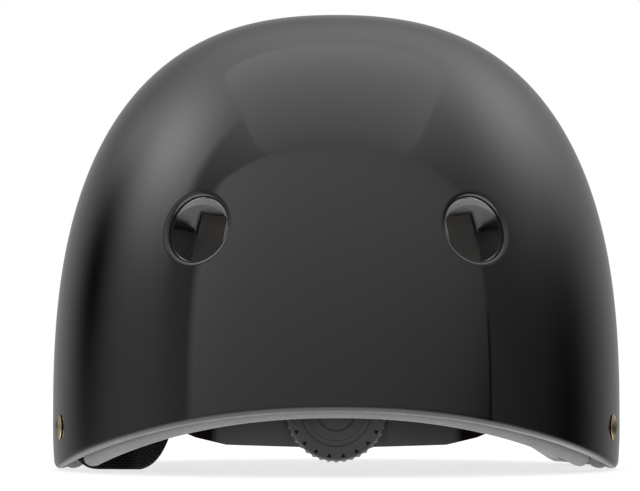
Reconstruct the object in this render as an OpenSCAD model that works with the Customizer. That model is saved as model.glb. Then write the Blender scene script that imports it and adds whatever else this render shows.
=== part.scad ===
// BMX and skate helmet with a rear fit dial. Millimetres, +Z up, +X to the wearer's right,
// +Y to the front. The rim's lowest edge stands on Z = 0 and the dome is centred on the origin.

/* [Shell] */
// Half of the overall width
dome_a = 107; // [102:0.5:112]
// Half of the overall length
dome_b = 136; // [130:0.5:142]
// Height of the crown above the widest level
dome_c = 151.5; // [146:0.5:157]
// Height of the widest level above the rim's lowest edge
equator_z = 20; // [18:0.5:22]
// Depth of the curve that draws the wall in below the widest level
tuck_c = 92; // [82:1:110]
// Squareness of the dome seen from behind
dome_n = 2.56; // [2.4:0.02:2.7]
// Squareness of the dome seen from above
plan_n = 2.2; // [2.1:0.05:2.3]
// Share by which the front is narrower than the rear
egg = 0.02; // [0:0.01:0.03]
// Thickness of the hard shell
shell_t = 3; // [2.5:0.1:3.5]
// Height of the rim at the middle of the back
rear_rise = 21.8; // [17:0.2:24]
// Height of the rim at the middle of the brow
front_rise = 28; // [22:0.5:32]
// Distance from the centre to the rear end of the level part of the rim
flat_rear = 9; // [4:1:20]
// Distance from the centre to the front end of the level part of the rim
flat_front = 42; // [30:1:50]
// How late the rim rises towards the back
rear_curve = 2.2; // [1.8:0.05:2.5]
// How late the rim rises towards the brow
front_curve = 1.4; // [1.2:0.05:1.8]
// Height over which the rim turns in
rim_roll = 4; // [2:0.25:5]
// Share of the wall by which the rim turns in
rim_turn = 0.6; // [0.3:0.05:0.7]

/* [Vents] */
// Radius of a vent hole through the shell
vent_r = 11.5; // [10:0.25:12]
// Radius of the rolled edge around a vent
vent_lip_r = 13.6; // [12.5:0.1:14.5]
// Depth of the rolled edge
vent_lip_d = 2.2; // [1.5:0.1:2.8]
// Radius of the hole in the liner behind a crown vent
liner_vent_r = 10.6; // [9:0.2:11]
// Radius of the level holes in the liner behind the front and rear vents
liner_bore_r = 12; // [11:0.25:12.5]
// Sideways distance of the rear vents from the middle
rear_vent_x = 48; // [42:0.5:54]
// Height of the rear vents
rear_vent_z = 84.5; // [76:0.5:90]
// Sideways distance of the front vents from the middle
front_vent_x = 36; // [30:0.5:42]
// Height of the front vents
front_vent_z = 82; // [76:0.5:90]
// Sideways distance of the crown vents from the middle
top_vent_x = 32; // [30:0.5:38]
// Places of the crown vents along the length
top_vent_y = [2, 56]; // [-10:1:60]

/* [Liner] */
// Gap between the shell and the foam liner
liner_gap = 0.3; // [0.2:0.05:0.5]
// Thickness of the foam liner
liner_t = 17; // [15:0.5:18]
// How far the liner shows below the shell at the back and the brow
liner_drop = 3; // [2:0.25:4]
// How much more it shows where the rim is low
liner_drop_low = 1.5; // [0:0.25:2]
// Least height of the liner above the surface the helmet stands on
liner_clear = 0.6; // [0.5:0.1:1]
// Share of the liner's thickness that its edge is level over
liner_flat = 0.45; // [0.3:0.05:0.6]
// Height by which the liner's edge is bevelled away at its inner wall
liner_bevel = 9; // [5:0.5:12]
// Width of a strap notch in the liner
notch_w = 38; // [34:1:42]
// Height of the top of a strap notch
notch_top = 23.5; // [22:0.5:26]

/* [Straps] */
// Width of the webbing
web_w = 18; // [16:0.5:20]
// Thickness of the webbing
web_t = 1.6; // [1.2:0.1:2]
// Gap between the webbing and what it lies on
web_gap = 0.7; // [0.5:0.05:0.9]
// Plan angle from the side to the rear rivets
rear_rivet_t = 23; // [20:0.5:26]
// Plan angle from the side to the front rivets
front_rivet_t = 9.5; // [8:0.5:10]
// Height of the rivets
rivet_z = 16; // [14:0.5:18]
// Radius of a rivet head
rivet_head_r = 4.5; // [3.5:0.1:5]
// Height of a rivet head
rivet_head_h = 1.5; // [1:0.1:2]
// Radius of a rivet shank
rivet_r = 2; // [1.5:0.1:2.5]
// Height of the strap dividers on the inner wall
divider_z = 70; // [66:0.5:76]

/* [Fit band] */
// Distance from the shell's side in to the middle of the fit band
fit_depth = 28.5; // [28:0.25:30]
// Thickness of the fit band
band_t = 2; // [1.6:0.1:2.2]
// Height of the fit band
band_h = 14; // [12:0.5:15]
// Distance from the back of the shell in to the middle of the fit band
rear_depth = 29.5; // [29:0.25:31]
// Height of the dial's axis
dial_z = 22; // [21:0.25:24]
// Distance from the centre forward to the temple pins
pin_y = 40; // [39:0.5:42]
// Height of the temple pins
pin_z = 30; // [28:0.5:34]
// Radius of the temple pins
pin_r = 2.5; // [2:0.1:3]
// Running clearance round the pins and the dial's shaft
run_gap = 0.06; // [0.03:0.01:0.1]

/* [Dial] */
// Radius of the dial
dial_r = 17.3; // [16:0.1:18]
// Thickness of the dial
dial_t = 9.5; // [8:0.25:11]
// Number of grip teeth round the dial
dial_teeth = 40; // [32:1:48]
// Depth of the grip teeth
dial_tooth_h = 0.6; // [0.4:0.05:0.8]
// Number of marks in the ring on the dial's face
dial_marks = 20; // [16:1:24]
// Tooth size of the pinion and racks: pitch divided by pi
gear_m = 1; // [0.95:0.01:1.02]
// Number of pinion teeth
pinion_n = 12; // [12:1:13]
// Full turn of the dial from loose to tight, in degrees
dial_turn = 120; // [90:5:120]
// Play between the pinion's teeth and the racks' teeth
gear_play = 0.2; // [0.15:0.01:0.3]

/* [Buckle] */
// Width of the buckle
buckle_w = 25; // [24:0.5:28]
// Length of the buckle's socket
buckle_l = 32; // [30:0.5:36]
// Thickness of the buckle
buckle_t = 8.5; // [8:0.25:10]
// Wall of the buckle's socket
buckle_wall = 1.5; // [1.2:0.1:1.8]

/* [Hidden] */
band_r = dome_a - fit_depth;
band_back = dome_b - rear_depth;

black_shell = [0.05, 0.05, 0.055];
foam_grey = [0.62, 0.63, 0.64];
pad_black = [0.1, 0.1, 0.11];
web_black = [0.06, 0.06, 0.06];
plastic_grey = [0.2, 0.2, 0.21];
plastic_black = [0.12, 0.12, 0.125];
brass = [0.45, 0.36, 0.22];
steel = [0.6, 0.6, 0.62];

far = 400;
cols = 56;
rows = 13;
liner_in = shell_t + liner_gap + liner_t;

// Signed power, which rounds an ellipse into a squarer curve
function spow(v, p) = sign(v) * pow(abs(v), p);

// Share of the full plan width that is left at height z on the dome drawn in by inset
function girth(z, inset) =
    z >= equator_z
    ? pow(max(0, 1 - pow((z - equator_z) / (dome_c - inset), dome_n)), 1 / dome_n)
    : pow(max(0, 1 - pow((equator_z - z) / tuck_c, dome_n)), 1 / dome_n);

// Point of the dome, drawn in by inset, at plan angle t with a given share of the plan width
function ring_point(t, share, z, inset) =
    let (y = (dome_b - inset) * spow(sin(t), 2 / plan_n) * share)
    let (narrow = 1 - egg * y / dome_b)
    [(dome_a - inset) * spow(cos(t), 2 / plan_n) * share * narrow, y, z];

function dome_point(t, z, inset) = ring_point(t, girth(z, inset), z, inset);

// Height of the dome, drawn in by inset, above a point of the plan
function dome_top(x, y, inset) =
    let (narrow = 1 - egg * y / dome_b)
    let (u = pow(abs(x) / (dome_a - inset) / narrow, plan_n) + pow(abs(y) / (dome_b - inset), plan_n))
    equator_z + (dome_c - inset) * pow(max(0, 1 - pow(u, dome_n / plan_n)), 1 / dome_n);

function unit(v) = v / norm(v);

// Outward direction of the dome's surface
function dome_normal(t, z, inset) =
    let (across = dome_point(t + 0.5, z, inset) - dome_point(t - 0.5, z, inset))
    let (up = dome_point(t, z + 0.5, inset) - dome_point(t, z - 0.5, inset))
    unit(cross(across, up));

function top_normal(x, y, inset) =
    let (dx = dome_top(x + 0.5, y, inset) - dome_top(x - 0.5, y, inset))
    let (dy = dome_top(x, y + 0.5, inset) - dome_top(x, y - 0.5, inset))
    unit([-dx, -dy, 1]);

// Height of the shell's rim at plan angle t: level at the sides, arched at the back and brow
function rim_z(t) =
    let (y = dome_b * spow(sin(t), 2 / plan_n))
    y < -flat_rear
    ? rear_rise * pow((-y - flat_rear) / (dome_b - flat_rear), rear_curve)
    : y > flat_front ? front_rise * pow((y - flat_front) / (dome_b - flat_front), front_curve) : 0;

function liner_rim_z(t) =
    let (rim = rim_z(t))
    max(liner_clear, rim - liner_drop - liner_drop_low * max(0, 1 - rim / rear_rise));

// Angle up the dome's section that belongs to height z, and the reverse
function climb(z, inset) =
    z >= equator_z
    ? asin(pow((z - equator_z) / (dome_c - inset), dome_n / 2))
    : -asin(pow((equator_z - z) / tuck_c, dome_n / 2));

function climb_z(angle, inset) =
    angle >= 0
    ? equator_z + (dome_c - inset) * pow(sin(angle), 2 / dome_n)
    : equator_z - tuck_c * pow(sin(-angle), 2 / dome_n);

// One face of a dome from its rim to just below the crown, ring by ring
function dome_grid(inset, rims) =
    [for (j = [0 : rows - 1]) for (i = [0 : cols - 1])
        let (t = 360 * i / cols)
        let (start = climb(rims[i], inset))
        let (angle = start + (90 - start) * j / rows)
        ring_point(t, pow(cos(angle), 2 / dome_n), climb_z(angle, inset), inset)];

// Closed shell between two domes that share a rim line
// edge lists the rings round the rim, each as its share of the wall and its height above the rim
module dome_shell(outer, inner, rims, edge = [[0, 0], [1, 0]]) {
    n = cols * rows;
    last = len(edge) - 1;
    starts = concat([0], [for (m = [1 : 1 : last - 1]) 2 * (n + 1) + (m - 1) * cols], [n + 1]);
    points = concat(
        dome_grid(outer, [for (z = rims) z + edge[0][1]]), [[0, 0, equator_z + dome_c - outer]],
        dome_grid(inner, [for (z = rims) z + edge[last][1]]), [[0, 0, equator_z + dome_c - inner]],
        [for (m = [1 : 1 : last - 1]) for (i = [0 : cols - 1])
            dome_point(360 * i / cols, rims[i] + edge[m][1], outer + (inner - outer) * edge[m][0])]);
    walls = [for (j = [0 : rows - 2]) for (i = [0 : cols - 1])
        let (k = (i + 1) % cols)
        [j * cols + i, j * cols + k, (j + 1) * cols + k, (j + 1) * cols + i]];
    caps = [for (i = [0 : cols - 1]) [(rows - 1) * cols + i, (rows - 1) * cols + (i + 1) % cols, n]];
    out_walls = [for (f = walls) each [[f[2], f[1], f[0]], [f[3], f[2], f[0]]]];
    in_walls = [for (f = walls) each [[f[0], f[1], f[2]] + (n + 1) * [1, 1, 1],
        [f[0], f[2], f[3]] + (n + 1) * [1, 1, 1]]];
    out_caps = [for (f = caps) [f[2], f[1], f[0]]];
    in_caps = [for (f = caps) f + (n + 1) * [1, 1, 1]];
    rim_walls = [for (m = [0 : last - 1]) for (i = [0 : cols - 1])
        let (k = (i + 1) % cols, a = starts[m], b = starts[m + 1])
        each [[a + i, a + k, b + k], [a + i, b + k, b + i]]];
    polyhedron(points, concat(out_walls, in_walls, out_caps, in_caps, rim_walls));
}

// Turns the local Z axis to a direction
module aim(direction) {
    d = unit(direction);
    rotate([0, acos(d[2]), atan2(d[1], d[0])]) children();
}

// Rear vents have side -1 and front vents side 1
function vent_x(side) = side < 0 ? rear_vent_x : front_vent_x;
function vent_z(side) = side < 0 ? rear_vent_z : front_vent_z;
function vent_t(side) =
    side * acos(pow(vent_x(side) / dome_a / girth(vent_z(side), 0) / (1 - side * egg * 0.85), plan_n / 2));

module at_wall_vents() {
    for (side = [-1, 1]) for (flip = [0, 1])
        mirror([flip, 0, 0])
            translate(dome_point(vent_t(side), vent_z(side), 0))
                aim(dome_normal(vent_t(side), vent_z(side), 0)) children();
}

// Level holes through the liner from front to back, as the foam is drawn from its mould
bore_lead = 12;
bore_length = 4 * liner_t - 6;
module liner_bores() {
    for (side = [-1, 1]) for (flip = [0, 1])
        mirror([flip, 0, 0])
            translate(dome_point(vent_t(side), vent_z(side), 0) + [0, side * bore_lead, 0])
                rotate([side * 90, 0, 0]) cylinder(r = liner_bore_r, h = bore_length, $fn = 48);
}

module at_top_vents() {
    for (y = top_vent_y) for (flip = [0, 1])
        mirror([flip, 0, 0])
            translate([top_vent_x, y, dome_top(top_vent_x, y, 0)])
                aim(top_normal(top_vent_x, y, 0)) children();
}

module vent_cut() {
    depth = shell_t + 8;
    translate([0, 0, -depth]) cylinder(r = vent_r, h = 2 * depth, $fn = 48);
    translate([0, 0, -vent_lip_d])
        cylinder(r1 = vent_r, r2 = vent_lip_r + 1.2, h = vent_lip_d + 1.2, $fn = 48);
}

module liner_vent_cut() {
    translate([0, 0, -liner_in - 12]) cylinder(r = liner_vent_r, h = liner_in + 24, $fn = 48);
}

// Rivets sit on both sides, front and rear
rivet_angles = [-rear_rivet_t, front_rivet_t];
module at_rivets() {
    for (t = rivet_angles) for (flip = [0, 1])
        mirror([flip, 0, 0])
            translate(dome_point(t, rivet_z, 0)) aim(dome_normal(t, rivet_z, 0)) children();
}

// The rim turns in, stands on a narrow flat and is broken at its inner corner
rolled_rim = concat([for (a = [0 : 30 : 90]) [rim_turn * (1 - cos(a)), rim_roll * (1 - sin(a))]],
    [[0.92, 0], [1, 0.3]]);
module outer_shell() {
    color(black_shell)
    difference() {
        dome_shell(0, shell_t, [for (i = [0 : cols - 1]) rim_z(360 * i / cols)], rolled_rim);
        at_wall_vents() vent_cut();
        at_top_vents() vent_cut();
        at_rivets() translate([0, 0, -10]) cylinder(r = rivet_r + 0.1, h = 20, $fn = 24);
    }
}

// Pocket in the back of the liner for the dial, as deep as its clearance needs
dial_back = band_back + 6 + dial_t + 0.5;
pocket_back = dial_back + 3.5;
pocket_r = dial_r + 4;
pocket_top = dial_z + 11;
module dial_pocket() {
    translate([0, -pocket_back, pocket_top]) rotate([-90, 0, 0]) cylinder(r = pocket_r, h = 60, $fn = 64);
    translate([-pocket_r, -pocket_back, -20]) cube([2 * pocket_r, 60, pocket_top + 20]);
}

socket_r = 5;
socket_depth = 9;
// Inner wall of the liner beside the temple pins
pin_wall_x = dome_point(asin(pow(pin_y / (dome_b - liner_in), plan_n / 2)), pin_z, liner_in)[0];

module eps_liner() {
    color(foam_grey)
    difference() {
        dome_shell(shell_t + liner_gap, liner_in, [for (i = [0 : cols - 1]) liner_rim_z(360 * i / cols)],
            [[0, 0.8], [0.05, 0], [liner_flat, 0], [1, liner_bevel]]);
        liner_bores();
        at_top_vents() liner_vent_cut();
        at_rivets() translate([rivet_z - notch_top, -notch_w / 2, -2 * liner_in])
            cube([3 * liner_in, notch_w, 2.5 * liner_in]);
        dial_pocket();
        for (side = [-1, 1])
            translate([side * (pin_wall_x - 4), pin_y, pin_z]) rotate([0, side * 90, 0])
                union() {
                    cylinder(r = socket_r + 0.1, h = socket_depth + 4, $fn = 48);
                    cylinder(r = socket_r + 1.3, h = 4.4, $fn = 48);
                }
    }
}

// Pad that lies on the liner between two plan angles and two heights, crowned in the middle
pad_t = 7;
pad_gap = 2;
pad_u = 12;
pad_v = 8;
function swell(u, v) = 0.3 + 0.7 * sqrt((1 - pow(2 * u - 1, 4)) * (1 - pow(2 * v - 1, 4)));

// Closed quilt: grid of outer points, grid of inner points and a wall round the edge
module quilt(outer, inner, nu, nv) {
    m = (nu + 1) * (nv + 1);
    function id(i, j) = j * (nu + 1) + i;
    cells = [for (j = [0 : nv - 1]) for (i = [0 : nu - 1])
        [id(i, j), id(i + 1, j), id(i + 1, j + 1), id(i, j + 1)]];
    top = [for (f = cells) each [[f[0], f[1], f[2]], [f[0], f[2], f[3]]]];
    low = [for (f = cells) each [[f[2], f[1], f[0]] + m * [1, 1, 1], [f[3], f[2], f[0]] + m * [1, 1, 1]]];
    loop = concat([for (i = [0 : nu - 1]) id(i, 0)], [for (j = [0 : nv - 1]) id(nu, j)],
        [for (i = [nu : -1 : 1]) id(i, nv)], [for (j = [nv : -1 : 1]) id(0, j)]);
    count = len(loop);
    edge = [for (k = [0 : count - 1])
        let (a = loop[k], b = loop[(k + 1) % count])
        each [[b, a, a + m], [b, a + m, b + m]]];
    polyhedron(concat(outer, inner), concat(top, low, edge));
}

// Rounds a square patch's corners by drawing them in
function squircle(u, v) =
    let (x = 2 * u - 1, y = 2 * v - 1)
    [0.5 + 0.5 * x * sqrt(1 - 0.28 * y * y), 0.5 + 0.5 * y * sqrt(1 - 0.28 * x * x)];

module wall_pad(t1, t2, z1, z2) {
    spots = [for (j = [0 : pad_v]) for (i = [0 : pad_u]) squircle(i / pad_u, j / pad_v)];
    grid = [for (j = [0 : pad_v]) for (i = [0 : pad_u]) [i / pad_u, j / pad_v]];
    outer = [for (s = spots) dome_point(t1 + (t2 - t1) * s[0], z1 + (z2 - z1) * s[1], liner_in + pad_gap)];
    inner = [for (k = [0 : len(spots) - 1])
        let (s = spots[k], g = grid[k])
        dome_point(t1 + (t2 - t1) * s[0], z1 + (z2 - z1) * s[1],
            liner_in + pad_gap + (pad_t - pad_gap) * swell(g[0], g[1]))];
    color(pad_black) quilt(inner, outer, pad_u, pad_v);
}

brow = [42, 138, equator_z + 20, equator_z + 48];
module brow_pad() {
    wall_pad(brow[0], brow[1], brow[2], brow[3]);
}

front_pad = [16, 40, equator_z + 52, equator_z + 78];
module front_pad_right() {
    wall_pad(front_pad[0], front_pad[1], front_pad[2], front_pad[3]);
}
module front_pad_left() {
    mirror([1, 0, 0]) front_pad_right();
}

rear_pad = [-42, -20, equator_z + 44, equator_z + 74];
module rear_pad_right() {
    wall_pad(rear_pad[0], rear_pad[1], rear_pad[2], rear_pad[3]);
}
module rear_pad_left() {
    mirror([1, 0, 0]) rear_pad_right();
}

// Crown pad, long from front to back, between the crown vents
crown_half_x = 16;
crown_y1 = -52;
crown_y2 = 40;
module crown_pad() {
    spots = [for (j = [0 : pad_v]) for (i = [0 : pad_u]) squircle(i / pad_u, j / pad_v)];
    grid = [for (j = [0 : pad_v]) for (i = [0 : pad_u]) [i / pad_u, j / pad_v]];
    function spot(s) = [(2 * s[1] - 1) * crown_half_x, crown_y1 + (crown_y2 - crown_y1) * s[0]];
    outer = [for (s = spots) let (p = spot(s)) [p[0], p[1], dome_top(p[0], p[1], liner_in + pad_gap)]];
    inner = [for (k = [0 : len(spots) - 1])
        let (p = spot(spots[k]), g = grid[k])
        [p[0], p[1], dome_top(p[0], p[1], liner_in + pad_gap + (pad_t - pad_gap) * swell(g[0], g[1]))]];
    color(pad_black) quilt(inner, outer, pad_u, pad_v);
}

dot_r = 6;
dot_t = 1.1;
dot_gap = 0.7;
module wall_dot(t, z) {
    translate(dome_point(t, z, liner_in + dot_gap)) aim(-dome_normal(t, z, liner_in))
        cylinder(r = dot_r, h = dot_t, $fn = 32);
}
// Spare hook patch beside each front pad, to which the pad can be moved
spare = [42.5, 53.5, equator_z + 60, equator_z + 82];
spare_u = 5;
spare_v = 4;
module spare_patch() {
    function sheet_at(inset) = [for (j = [0 : spare_v]) for (i = [0 : spare_u])
        dome_point(spare[0] + (spare[1] - spare[0]) * i / spare_u,
            spare[2] + (spare[3] - spare[2]) * j / spare_v, inset)];
    quilt(sheet_at(liner_in + dot_gap + dot_t), sheet_at(liner_in + dot_gap), spare_u, spare_v);
}

module pad_fasteners() {
    color(pad_black) {
        for (k = [-1 : 1]) wall_dot(90 + k * (brow[1] - brow[0]) / 3, (brow[2] + brow[3]) / 2);
        for (flip = [0, 1]) mirror([flip, 0, 0]) {
            wall_dot((front_pad[0] + front_pad[1]) / 2, (front_pad[2] + front_pad[3]) / 2);
            wall_dot((rear_pad[0] + rear_pad[1]) / 2, (rear_pad[2] + rear_pad[3]) / 2);
            spare_patch();
        }
        for (y = [crown_y1 + 18, crown_y2 - 18])
            translate([0, y, dome_top(0, y, liner_in + dot_gap)]) aim(-top_normal(0, y, liner_in))
                cylinder(r = dot_r, h = dot_t, $fn = 32);
    }
}

// Rivets with a domed head outside and a shank through the shell, the webbing and the washer
washer_t = 1;
washer_r = 4;
tab_gap = 1.1;
tab_in = shell_t + tab_gap;
module strap_rivets() {
    sag = (rivet_head_r * rivet_head_r - rivet_head_h * rivet_head_h) / (2 * rivet_head_h);
    ball = sag + rivet_head_h;
    color(brass)
    at_rivets() {
        intersection() {
            translate([0, 0, 0.25 - sag]) sphere(r = ball, $fn = 48);
            translate([0, 0, 0.25]) cylinder(r = rivet_head_r + 1, h = rivet_head_h + 1, $fn = 48);
        }
        translate([0, 0, -tab_in - web_t - washer_t - 0.9])
            cylinder(r = rivet_r, h = tab_in + web_t + washer_t + 1.4, $fn = 32);
        translate([0, 0, -tab_in - web_t - washer_t - 1.4]) cylinder(r = rivet_r + 1, h = 0.9, $fn = 32);
    }
}

module rivet_washers() {
    color(steel)
    at_rivets()
        difference() {
            translate([0, 0, -tab_in - web_t - washer_t - 0.4])
                cylinder(r = washer_r, h = washer_t, $fn = 32);
            translate([0, 0, -tab_in - web_t - washer_t - 5])
                cylinder(r = rivet_r + run_gap, h = 10, $fn = 32);
        }
}

// Temple anchors: a cup in the liner and a headed pin that the fit arm turns on
arm_x = band_r;
module anchor_sockets() {
    color(plastic_black)
    for (side = [-1, 1])
        translate([side * (pin_wall_x - 0.5), pin_y, pin_z]) rotate([0, side * 90, 0])
            difference() {
                union() {
                    cylinder(r = socket_r, h = socket_depth, $fn = 48);
                    translate([0, 0, -0.2]) cylinder(r = socket_r + 1, h = 0.6, $fn = 48);
                }
                translate([0, 0, -1]) cylinder(r = pin_r + run_gap, h = socket_depth, $fn = 48);
            }
}

module anchor_pins() {
    reach = pin_wall_x - arm_x + socket_depth - 3;
    color(plastic_black)
    for (side = [-1, 1])
        translate([side * arm_x, pin_y, pin_z]) rotate([0, side * 90, 0]) {
            translate([0, 0, -band_t / 2 - 0.1 - 1.4]) cylinder(r = 5.2, h = 1.4, $fn = 48);
            translate([0, 0, -band_t / 2 - 0.2]) cylinder(r = pin_r, h = reach + band_t / 2, $fn = 48);
        }
}

// Webbing swept as a flat ribbon: each entry holds a point and the direction of its width
function blend4(a, b, c, d, s) =
    0.5 * (2 * b + (c - a) * s + (2 * a - 5 * b + 4 * c - d) * s * s + (3 * b - a - 3 * c + d) * s * s * s);
function smooth(c, steps) =
    let (last = len(c) - 1)
    concat([for (i = [0 : last - 1]) for (j = [0 : steps - 1])
        blend4(c[max(0, i - 1)], c[i], c[i + 1], c[min(last, i + 2)], j / steps)], [c[last]]);

module ribbon(points, sides, w = web_w, th = web_t) {
    last = len(points) - 1;
    rings = [for (i = [0 : last])
        let (along = unit(points[min(last, i + 1)] - points[max(0, i - 1)]))
        let (across = unit(sides[i] - (sides[i] * along) * along))
        let (out = cross(along, across))
        each [points[i] + w / 2 * across + th / 2 * out, points[i] - w / 2 * across + th / 2 * out,
            points[i] - w / 2 * across - th / 2 * out, points[i] + w / 2 * across - th / 2 * out]];
    walls = [for (i = [0 : last - 1]) for (k = [0 : 3])
        let (a = 4 * i + k, b = 4 * i + (k + 1) % 4)
        each [[a, b, b + 4], [a, b + 4, a + 4]]];
    ends = [[2, 1, 0], [3, 2, 0], [4 * last, 4 * last + 1, 4 * last + 2], [4 * last, 4 * last + 2,
        4 * last + 3]];
    polyhedron(rings, concat(walls, ends));
}

// Strap on the dome: stations of plan angle, height, inset and turn of the width from level
function wall_frame(out) =
    let (level = unit(cross([0, 0, 1], out)))
    [level, cross(out, level)];
function wall_side(out, turn) =
    let (f = wall_frame(out))
    cos(turn) * f[0] + sin(turn) * f[1];
function on_wall(stations) = [for (q = stations)
    concat(dome_point(q[0], q[1], q[2]), wall_side(dome_normal(q[0], q[1], q[2]), q[3]))];

// Straps lie on the liner, and run through the dividers in two layers
strap_in = liner_in + web_gap + web_t / 2;
tab_mid = tab_in + web_t / 2;
divider_t = 5.6;
divider_gap = 2.4;
divider_in = liner_in + divider_gap + divider_t / 2;
divider_lean = 34;
divider_cross = 5;
layer = web_t / 2 + 0.15;

divider_spot = dome_point(0, divider_z, divider_in);
divider_out = dome_normal(0, divider_z, divider_in);
function in_divider(x, y, z) =
    let (f = wall_frame(divider_out))
    divider_spot + x * f[0] + y * f[1] + z * divider_out;

divider_reach = 27;
// Last stations of a strap that enters the divider from below, to the front (1) or rear (-1)
function divider_entry(way, flip) = [for (s = [divider_reach, 2 * divider_reach / 3, 8])
    concat(in_divider(way * s * sin(divider_lean), divider_cross - s * cos(divider_lean), way * layer),
        wall_side(divider_out, way * divider_lean + flip))];

module strap(stations, t) {
    path = smooth(stations, 3);
    difference() {
        ribbon([for (q = path) [q[0], q[1], q[2]]], [for (q = path) [q[3], q[4], q[5]]]);
        translate(dome_point(t, rivet_z, 0)) aim(dome_normal(t, rivet_z, 0))
            translate([0, 0, -tab_in - 4]) cylinder(r = rivet_r + 0.15, h = 10, $fn = 24);
    }
}

// Turn under the liner's edge, from a rivet into the helmet
function notch_turn(t) = [
    [t, rivet_z + 6, tab_mid, 0], [t, rivet_z - 2, tab_mid, 0], [t, rivet_z - 8.5, tab_mid + 1.5, 0],
    [t, rivet_z - 11.5, tab_mid + 6, 0], [t, rivet_z - 11.5, strap_in - 6, 0], [t, rivet_z - 8,
        strap_in - 1, 0]];

module front_strap_right() {
    t = front_rivet_t;
    color(web_black)
    strap(concat(on_wall(concat(notch_turn(t), [
        [t, rivet_z, strap_in + 0.3, 2], [t - 0.5, divider_z - divider_reach - 15, strap_in + 0.2, 10],
        [t - 1.5, divider_z - divider_reach - 2, strap_in + 1.8, 24]])), divider_entry(1, 0)), t);
}
module front_strap_left() {
    mirror([1, 0, 0]) front_strap_right();
}
module rear_strap_right() {
    t = -rear_rivet_t;
    color(web_black)
    strap(concat(on_wall(concat(notch_turn(t), [
        [t + 0.5, rivet_z, strap_in + 0.3, -4], [t + 3, divider_z - divider_reach - 16,
            strap_in + 0.3, -24],
        [-14, divider_z - divider_reach - 2, strap_in + 1.2, -36]])), divider_entry(-1, 0)), t);
}

// The left rear strap is slack: it bows down behind the rim before it climbs to its divider
module rear_strap_left() {
    t = -rear_rivet_t;
    slack = strap_in + 0.8;
    color(web_black)
    mirror([1, 0, 0]) strap(concat(on_wall([
        [t, rivet_z + 6, tab_mid, 0], [t - 0.1, rivet_z, tab_mid, -4], [t - 1.3, 11.4, tab_mid + 0.3, -34],
        [t - 3.6, 9.8, tab_mid + 5, -78], [t - 6, 9.7, tab_mid + 11, -90], [t - 9, 9.7,
            strap_in + 0.2, -92],
        [t - 14, 10.2, slack, -96], [t - 19, 13.5, slack, -115], [t - 22, 21, slack, -145],
        [t - 22.5, 31, slack + 0.2, -180], [t - 19, 40, slack, -205], [t - 11, 45, slack, -214],
        [-17, divider_z - divider_reach + 2, strap_in + 1.6, -216]]), divider_entry(-1, -180)), t);
}

// Divider: a flat plate whose slots take the two straps from below and the chin strap above
module divider_slot(turn, z, length, w) {
    rotate([0, 0, turn]) translate([-w / 2, 0, z - layer - 0.1]) cube([w, length, 2 * layer + 0.2]);
}
module strap_divider_right() {
    half = divider_t / 2;
    color(plastic_black)
    translate(divider_spot) aim(divider_out) rotate([0, 0, 90])
        difference() {
            translate([0, 0, -half]) linear_extrude(divider_t)
                polygon([[-3.5, -17], [3.5, -17], [20.9, -5.3], [12, 14], [-12, 14], [-20.9, -5.3]]);
            for (way = [-1, 1])
                translate([0, divider_cross, 0])
                    divider_slot(180 + way * divider_lean, way * layer, 30, web_w + 1.2);
            translate([0, divider_cross, 0]) divider_slot(0, 0, 30, web_w + 0.8);
            translate([0, -9, -half - 1]) cylinder(r = 2.6, h = divider_t + 2, $fn = 32);
        }
}
module strap_divider_left() {
    mirror([1, 0, 0]) strap_divider_right();
}

// Buckle, tilted so that its plug draws out along the falling side of the dome
buckle_x = 14;
buckle_z = 132.5;
buckle_tilt = 12;
bar_out = buckle_l / 2 + 5.7;
bar_half = 2.3;
bar_t = 2.4;
slot_l = 4;
mouth_x = 8;
throat_w = buckle_w - 2 * buckle_wall;
throat_t = buckle_t - 2 * buckle_wall;
prong_l = 16;
function buckle_point(x, z) = [buckle_x + x * cos(buckle_tilt) + z * sin(buckle_tilt), 0,
    buckle_z - x * sin(buckle_tilt) + z * cos(buckle_tilt)];

module buckle_frame() {
    translate([buckle_x, 0, buckle_z]) rotate([0, buckle_tilt, 0]) children();
}

// Strap end of a buckle half, to the +X side: a slot and a bar that the webbing goes round
module strap_end(start) {
    difference() {
        translate([start, -buckle_w / 2, -buckle_t / 2])
            cube([bar_out + bar_half - start, buckle_w, buckle_t]);
        translate([bar_out - bar_half - slot_l, -web_w / 2 - 0.6, -buckle_t])
            cube([slot_l, web_w + 1.2, 2 * buckle_t]);
        for (z = [bar_t / 2, -bar_t / 2 - buckle_t])
            translate([bar_out - bar_half - 0.1, -web_w / 2 - 0.6, z])
                cube([2 * bar_half + 1, web_w + 1.2, buckle_t]);
        for (y = [-1, 1]) translate([bar_out + bar_half, y * buckle_w / 2, -buckle_t])
            cylinder(r = 2, h = 2 * buckle_t, $fn = 32);
    }
}

module buckle_socket() {
    color(plastic_black)
    buckle_frame()
        difference() {
            union() {
                mirror([1, 0, 0]) strap_end(8);
                translate([-9, -buckle_w / 2, -buckle_t / 2]) cube([mouth_x + 9, buckle_w, buckle_t]);
            }
            translate([mouth_x - prong_l - 4, -throat_w / 2, -throat_t / 2])
                cube([prong_l + 10, throat_w, throat_t]);
            for (side = [-1, 1])
                translate([-7.5, side * (buckle_w / 2) - 2, -throat_t / 2 + 0.4])
                    cube([9, 4, throat_t - 0.8]);
            translate([mouth_x + 0.5, 0, -buckle_t]) cylinder(r = 6, h = 2 * buckle_t, $fn = 48);
        }
}

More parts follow.
